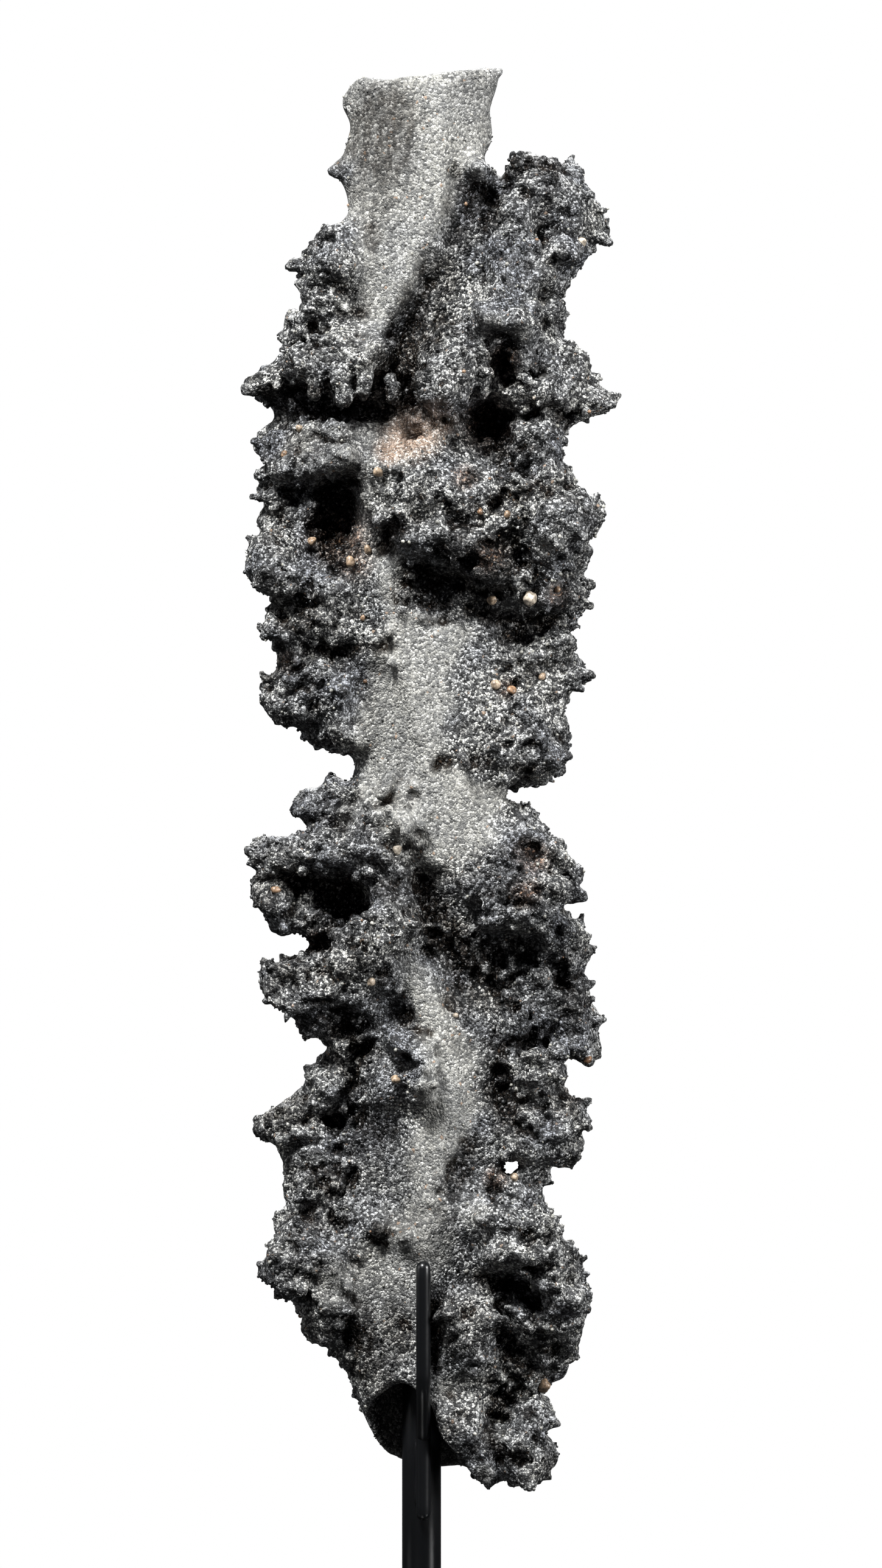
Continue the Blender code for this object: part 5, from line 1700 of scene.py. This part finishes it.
@dataclass
class Stand:
    """The steel post, its finger and the base, all lacquered black."""

    foot_z: float
    sides: int = 48
    edge_mm: float = 0.5
    top_edge_mm: float = 1.0
    finger_radius_mm: float = 1.19
    finger_x_mm: float = 0.3
    finger_y_mm: float = -4.665
    finger_sides: int = 28
    finger_steps: int = 6
    dome_angles: tuple[float, ...] = (88.0, 65.0, 45.0, 25.0)
    # The braze: how far it reaches past the finger's first straight, its section and ripples.
    braze_ends_mm: Span = (0.6, 1.6)
    braze_half_mm: Span = (1.25, 0.95)
    braze_y_mm: float = -3.35
    braze_steps: int = 14
    braze_sides: int = 16
    braze_taper: float = 0.3
    braze_ripple: Span = (0.08, 9.0)
    # The base: its eased edges, and the socket for the post.
    bevel_mm: float = 1.2
    bevel_segments: int = 4
    bevel_profile: float = 0.6
    socket_gap_mm: float = 0.3
    socket_above_mm: float = 5.0
    base_sharp_degrees: float = 35.0
    # The finger's middle line, (y, height): brazed along the post, then over the front wall.
    finger_route: Table = (
        (0.0, -4.0), (0.0, 7.0), (-0.9, 9.5), (-4.6, 15.0), (-5.8, 17.5), (-6.2, 21.0),
        (-6.2, 36.1),
    )

    def build(self) -> dict[str, Object]:
        """Build the stand's pieces.

        Returns:
            Each piece by the name of the CAD node that it replaces, and the braze.
        """
        return {
            "stand_post": self._post(),
            "stand_finger": self._finger(),
            "stand_base": self._base(),
            "braze": self._braze(),
        }

    def _turned(self, name: str, profile: list[Span]) -> Object:
        """Turn a profile of (radius, z) around the post's axis, with closed ends."""
        rings = []
        for radius, z in profile:
            rings.append(ring_at(Vector((0, 0, z)), UP, radius, self.sides))
        return add_object(name, lofted(name, rings))

    def _post(self) -> Object:
        """The post, with a small round on its top edge."""
        low, high = (Vector(corner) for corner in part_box("stand_post"))
        radius = (high.x - low.x) / 2.0
        edge, top = self.edge_mm * MM, self.top_edge_mm * MM
        return self._turned("post_rod", [
            (radius - edge, low.z), (radius, low.z + edge), (radius, high.z - top),
            (radius - top, high.z),
        ])

    def _finger_points(self) -> list[Vector]:
        """Return a smooth line through the finger's route."""
        route = [
            Vector((self.finger_x_mm * MM, (self.finger_y_mm + y) * MM, self.foot_z + height * MM))
            for y, height in self.finger_route
        ]
        points = []
        for i in range(len(route) - 1):
            before = route[max(0, i - 1)]
            after = route[min(len(route) - 1, i + 2)]
            for step in range(self.finger_steps):
                share = step / self.finger_steps
                points.append(catmull_rom(before, route[i], route[i + 1], after, share))
        points.append(route[-1])
        return points

    def _dome(self, end: Vector, way: Vector) -> list[list[Vector]]:
        """Return the rings of a dome over one end of the finger, from its top down."""
        radius = self.finger_radius_mm * MM
        rings = []
        for angle in self.dome_angles:
            turn = math.radians(angle)
            centre = end + way * radius * math.sin(turn)
            ring = ring_at(centre, UP, radius * math.cos(turn), self.finger_sides)
            rings.append(ring)
        return rings

    def _finger(self) -> Object:
        """The finger, with domed ends."""
        points = self._finger_points()
        radius = self.finger_radius_mm * MM
        rings = self._dome(points[0], -UP)
        for i, point in enumerate(points):
            ahead = points[min(len(points) - 1, i + 1)] - points[max(0, i - 1)]
            rings.append(ring_at(point, ahead.normalized(), radius, self.finger_sides))
        rings += self._dome(points[-1], UP)[::-1]
        return add_object("clip_finger", lofted("clip_finger", rings))

    def _braze(self) -> Object:
        """The fillet of braze metal that joins the finger to the post, under the lacquer."""
        low = self.finger_route[0][1] + self.braze_ends_mm[0]
        high = self.finger_route[1][1] + self.braze_ends_mm[1]
        half_x, half_y = self.braze_half_mm
        size, speed = self.braze_ripple
        rings = []
        for i in range(self.braze_steps + 1):
            share = i / self.braze_steps
            height = low + (high - low) * share
            swell = math.sqrt(max(0.0, 1.0 - (2.0 * share - 1.0) ** 6))
            wobble = 1.0 + size * math.sin(speed * share)
            taper = self.braze_taper + (1.0 - self.braze_taper) * swell
            half_width = half_x * MM * taper * wobble
            ring = []
            for k in range(self.braze_sides):
                angle = 2.0 * math.pi * k / self.braze_sides
                y = self.braze_y_mm * MM + half_y * MM * math.sin(angle)
                ring.append(Vector((half_width * math.cos(angle), y, self.foot_z + height * MM)))
            rings.append(ring)
        return add_object("finger_braze", lofted("finger_braze", rings))

    def _base(self) -> Object:
        """The base plate with eased edges and the socket that takes the post."""
        low, high = (Vector(corner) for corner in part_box("stand_base"))
        size = high - low
        bm = bmesh.new()
        place = Matrix.Translation((low + high) / 2.0) @ Matrix.Diagonal((*size, 1.0))
        bmesh.ops.create_cube(bm, size=1.0, matrix=place)
        bmesh.ops.bevel(
            bm, geom=bm.edges[:], offset=self.bevel_mm * MM, segments=self.bevel_segments,
            profile=self.bevel_profile, affect="EDGES",
        )
        mesh = bpy.data.meshes.new("base_plate")
        bm.to_mesh(mesh)
        bm.free()
        plate = add_object("base_plate", mesh)
        post_low, post_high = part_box("stand_post")
        gap = self.socket_gap_mm * MM
        radius = (post_high[0] - post_low[0]) / 2.0 + gap
        socket = self._turned("socket", [
            (radius, post_low[2] - gap), (radius, high.z + self.socket_above_mm * MM)
        ])
        cut = plate.modifiers.new("Socket", "BOOLEAN")
        cut.object = socket
        cut.operation = "DIFFERENCE"
        cut_mesh = with_modifiers_applied(plate)
        bpy.data.objects.remove(socket, do_unlink=True)
        cut_mesh.shade_smooth()
        cut_mesh.set_sharp_from_angle(angle=math.radians(self.base_sharp_degrees))
        return add_object("base_plate", cut_mesh)


def ring_at(centre: Vector, direction: Vector, radius: float, count: int) -> list[Vector]:
    """Return a ring of points square to a direction that has no X."""
    across = Vector((1.0, 0.0, 0.0))
    other = direction.cross(across)
    ring = []
    for i in range(count):
        angle = 2.0 * math.pi * i / count
        ring.append(centre + (across * math.cos(angle) + other * math.sin(angle)) * radius)
    return ring


def catmull_rom(a: Vector, b: Vector, c: Vector, d: Vector, share: float) -> Vector:
    """Return a point between b and c on the smooth curve through all four."""
    return 0.5 * (
        2.0 * b + (c - a) * share + (2.0 * a - 5.0 * b + 4.0 * c - d) * share**2
        + (3.0 * b - 3.0 * c + d - a) * share**3
    )


def lofted(name: str, rings: list[list[Vector]]) -> Mesh:
    """Bridge closed rings of points into one closed, smooth mesh."""
    bm = bmesh.new()
    loops = [[bm.verts.new(point) for point in ring] for ring in rings]
    count = len(loops[0])
    for low, high in zip(loops, loops[1:]):
        for i in range(count):
            j = (i + 1) % count
            bm.faces.new((low[i], low[j], high[j], high[i]))
    bm.faces.new(loops[0])
    bm.faces.new(loops[-1])
    bmesh.ops.recalc_face_normals(bm, faces=bm.faces)
    mesh = bpy.data.meshes.new(name)
    bm.to_mesh(mesh)
    bm.free()
    mesh.shade_smooth()
    mesh.set_sharp_from_angle(angle=math.radians(SHARP_DEGREES))
    return mesh


# --- The studio ---


@dataclass(frozen=True)
class Lamp:
    """A square soft light: its place and the length of its side, in metres, and its power."""

    name: str
    place: tuple[float, float, float]
    size: float
    watts: float


@dataclass
class Studio:
    """A white studio: a pale floor, soft lights and the camera, level with the stone's middle."""

    camera_distance: float = 1.5
    frame_height: float = 0.25554
    centre_x: float = 0.00317
    centre_z: float = 0.14998
    sensor_mm: float = 36.0
    clip_start: float = 0.05
    lamps: tuple[Lamp, ...] = (
        Lamp("key", (-0.3, -0.6, 1.0), 0.28, 31.0),
        Lamp("right_strip", (0.75, -0.35, 0.35), 0.22, 9.0),
        Lamp("left_strip", (-0.75, -0.1, 0.35), 0.35, 1.08),
        Lamp("back_soft", (0.1, 0.7, 0.8), 0.5, 13.95),
    )
    lit_point: tuple[float, float, float] = (0.0, 0.0, 0.16)
    ambient: float = 0.045
    ambient_colour: str = "F4F7FF"
    floor_radius: float = 0.25
    floor_sides: int = 96
    # Where the floor fades into the white, as shares of its radius.
    floor_fade: Span = (0.3, 0.95)
    paper_colour: str = "D8D8D8"
    paper_roughness: float = 0.9
    bounce_colour: str = "202020"

    def build(self) -> None:
        """Set up the camera, the floor, the surroundings and the lights."""
        self._camera()
        self._floor()
        self._surroundings()
        for lamp in self.lamps:
            self._light(lamp)

    def _camera(self) -> None:
        """Place the camera level, straight in front."""
        data = bpy.data.cameras.new("camera")
        camera = bpy.data.objects.new("camera", data)
        bpy.context.scene.collection.objects.link(camera)
        camera.location = (self.centre_x, -self.camera_distance, self.centre_z)
        camera.rotation_euler = (math.radians(90.0), 0.0, 0.0)
        data.sensor_fit = "VERTICAL"
        data.sensor_height = self.sensor_mm
        data.lens = data.sensor_height * self.camera_distance / self.frame_height
        data.clip_start = self.clip_start
        bpy.context.scene.camera = camera

    def _floor(self) -> None:
        """Lay a small sheet of white paper whose edge fades into the surroundings."""
        bm = bmesh.new()
        bmesh.ops.create_circle(
            bm, cap_ends=True, radius=self.floor_radius, segments=self.floor_sides
        )
        mesh = bpy.data.meshes.new("floor")
        bm.to_mesh(mesh)
        bm.free()
        floor = add_object("floor", mesh)
        material, add, shader = new_material("white_paper")
        set_values(shader, {
            "Base Color": linear(self.paper_colour), "Roughness": self.paper_roughness,
        })
        place = add("TexCoord").outputs["Object"]
        away = add("VectorMath", {"operation": "LENGTH", 0: place}).outputs["Value"]
        near, far = (share * self.floor_radius for share in self.floor_fade)
        fade = add("MapRange", {"From Min": near, "From Max": far, "Value": away})
        glow = add("Emission", {"Color": linear("FFFFFF"), "Strength": 1.0})
        paper = add("MixShader", {0: fade, 1: shader, 2: glow})
        dark = add("BsdfDiffuse", {"Color": linear(self.bounce_colour)})
        mix = add("MixShader", {0: add("LightPath"), 1: dark, 2: paper})
        set_values(material.node_tree.nodes["Material Output"], {"Surface": mix})
        mesh.materials.append(material)

    def _surroundings(self) -> None:
        """Show pure white behind the object, and light it from all sides only weakly."""
        world = bpy.data.worlds.new("studio")
        bpy.context.scene.world = world
        world.use_nodes = True
        world.node_tree.nodes.clear()
        add = partial(add_node, world.node_tree)
        white = add("Background", {"Color": linear("FFFFFF"), "Strength": 1.0})
        soft = add("Background", {
            "Color": linear(self.ambient_colour), "Strength": self.ambient,
        })
        mix = add("MixShader", {0: add("LightPath"), 1: soft, 2: white})
        add("OutputWorld", {"Surface": mix})

    def _light(self, lamp: Lamp) -> None:
        """Add a lamp, pointed at the stone's middle."""
        data = bpy.data.lights.new(lamp.name, "AREA")
        data.size = lamp.size
        data.energy = lamp.watts
        light = bpy.data.objects.new(lamp.name, data)
        bpy.context.scene.collection.objects.link(light)
        place = Vector(lamp.place)
        light.location = place
        towards = Vector(self.lit_point) - place
        light.rotation_euler = towards.to_track_quat("-Z", "Y").to_euler()


# --- All together ---


def dress(piece: Object, material: Material) -> None:
    """Give a piece its material and its body, and report it."""
    piece.data.materials.clear()
    piece.data.materials.append(material)
    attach(piece, BODY)
    LOG.info("built %s with %s", piece.name, material.name)


def main() -> None:
    """Build every piece in order."""
    logging.basicConfig(level=logging.INFO, format="%(name)s: %(message)s")
    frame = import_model()
    bpy.context.scene.view_settings.view_transform = "Standard"

    Studio().build()

    stone_map = StoneMap(FOOT_Z)
    skin = StoneSkin(stone_map).build(frame["nodes"]["fulgurite"])
    fused_sand = FusedSand().material()
    for piece in skin:
        dress(piece, fused_sand)
        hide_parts("fulgurite")
    grain = LooseGrain().material()
    for piece in SandGrains(stone_map).build(skin):
        dress(piece, grain)
    dress(SandPebbles(stone_map).build(skin), Pebble().material())

    paint = SatinPaint().material()
    for node, piece in Stand(FOOT_Z).build().items():
        dress(piece, paint)
        if node in frame["nodes"]:
            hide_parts(node)


if __name__ == "__main__":
    main()
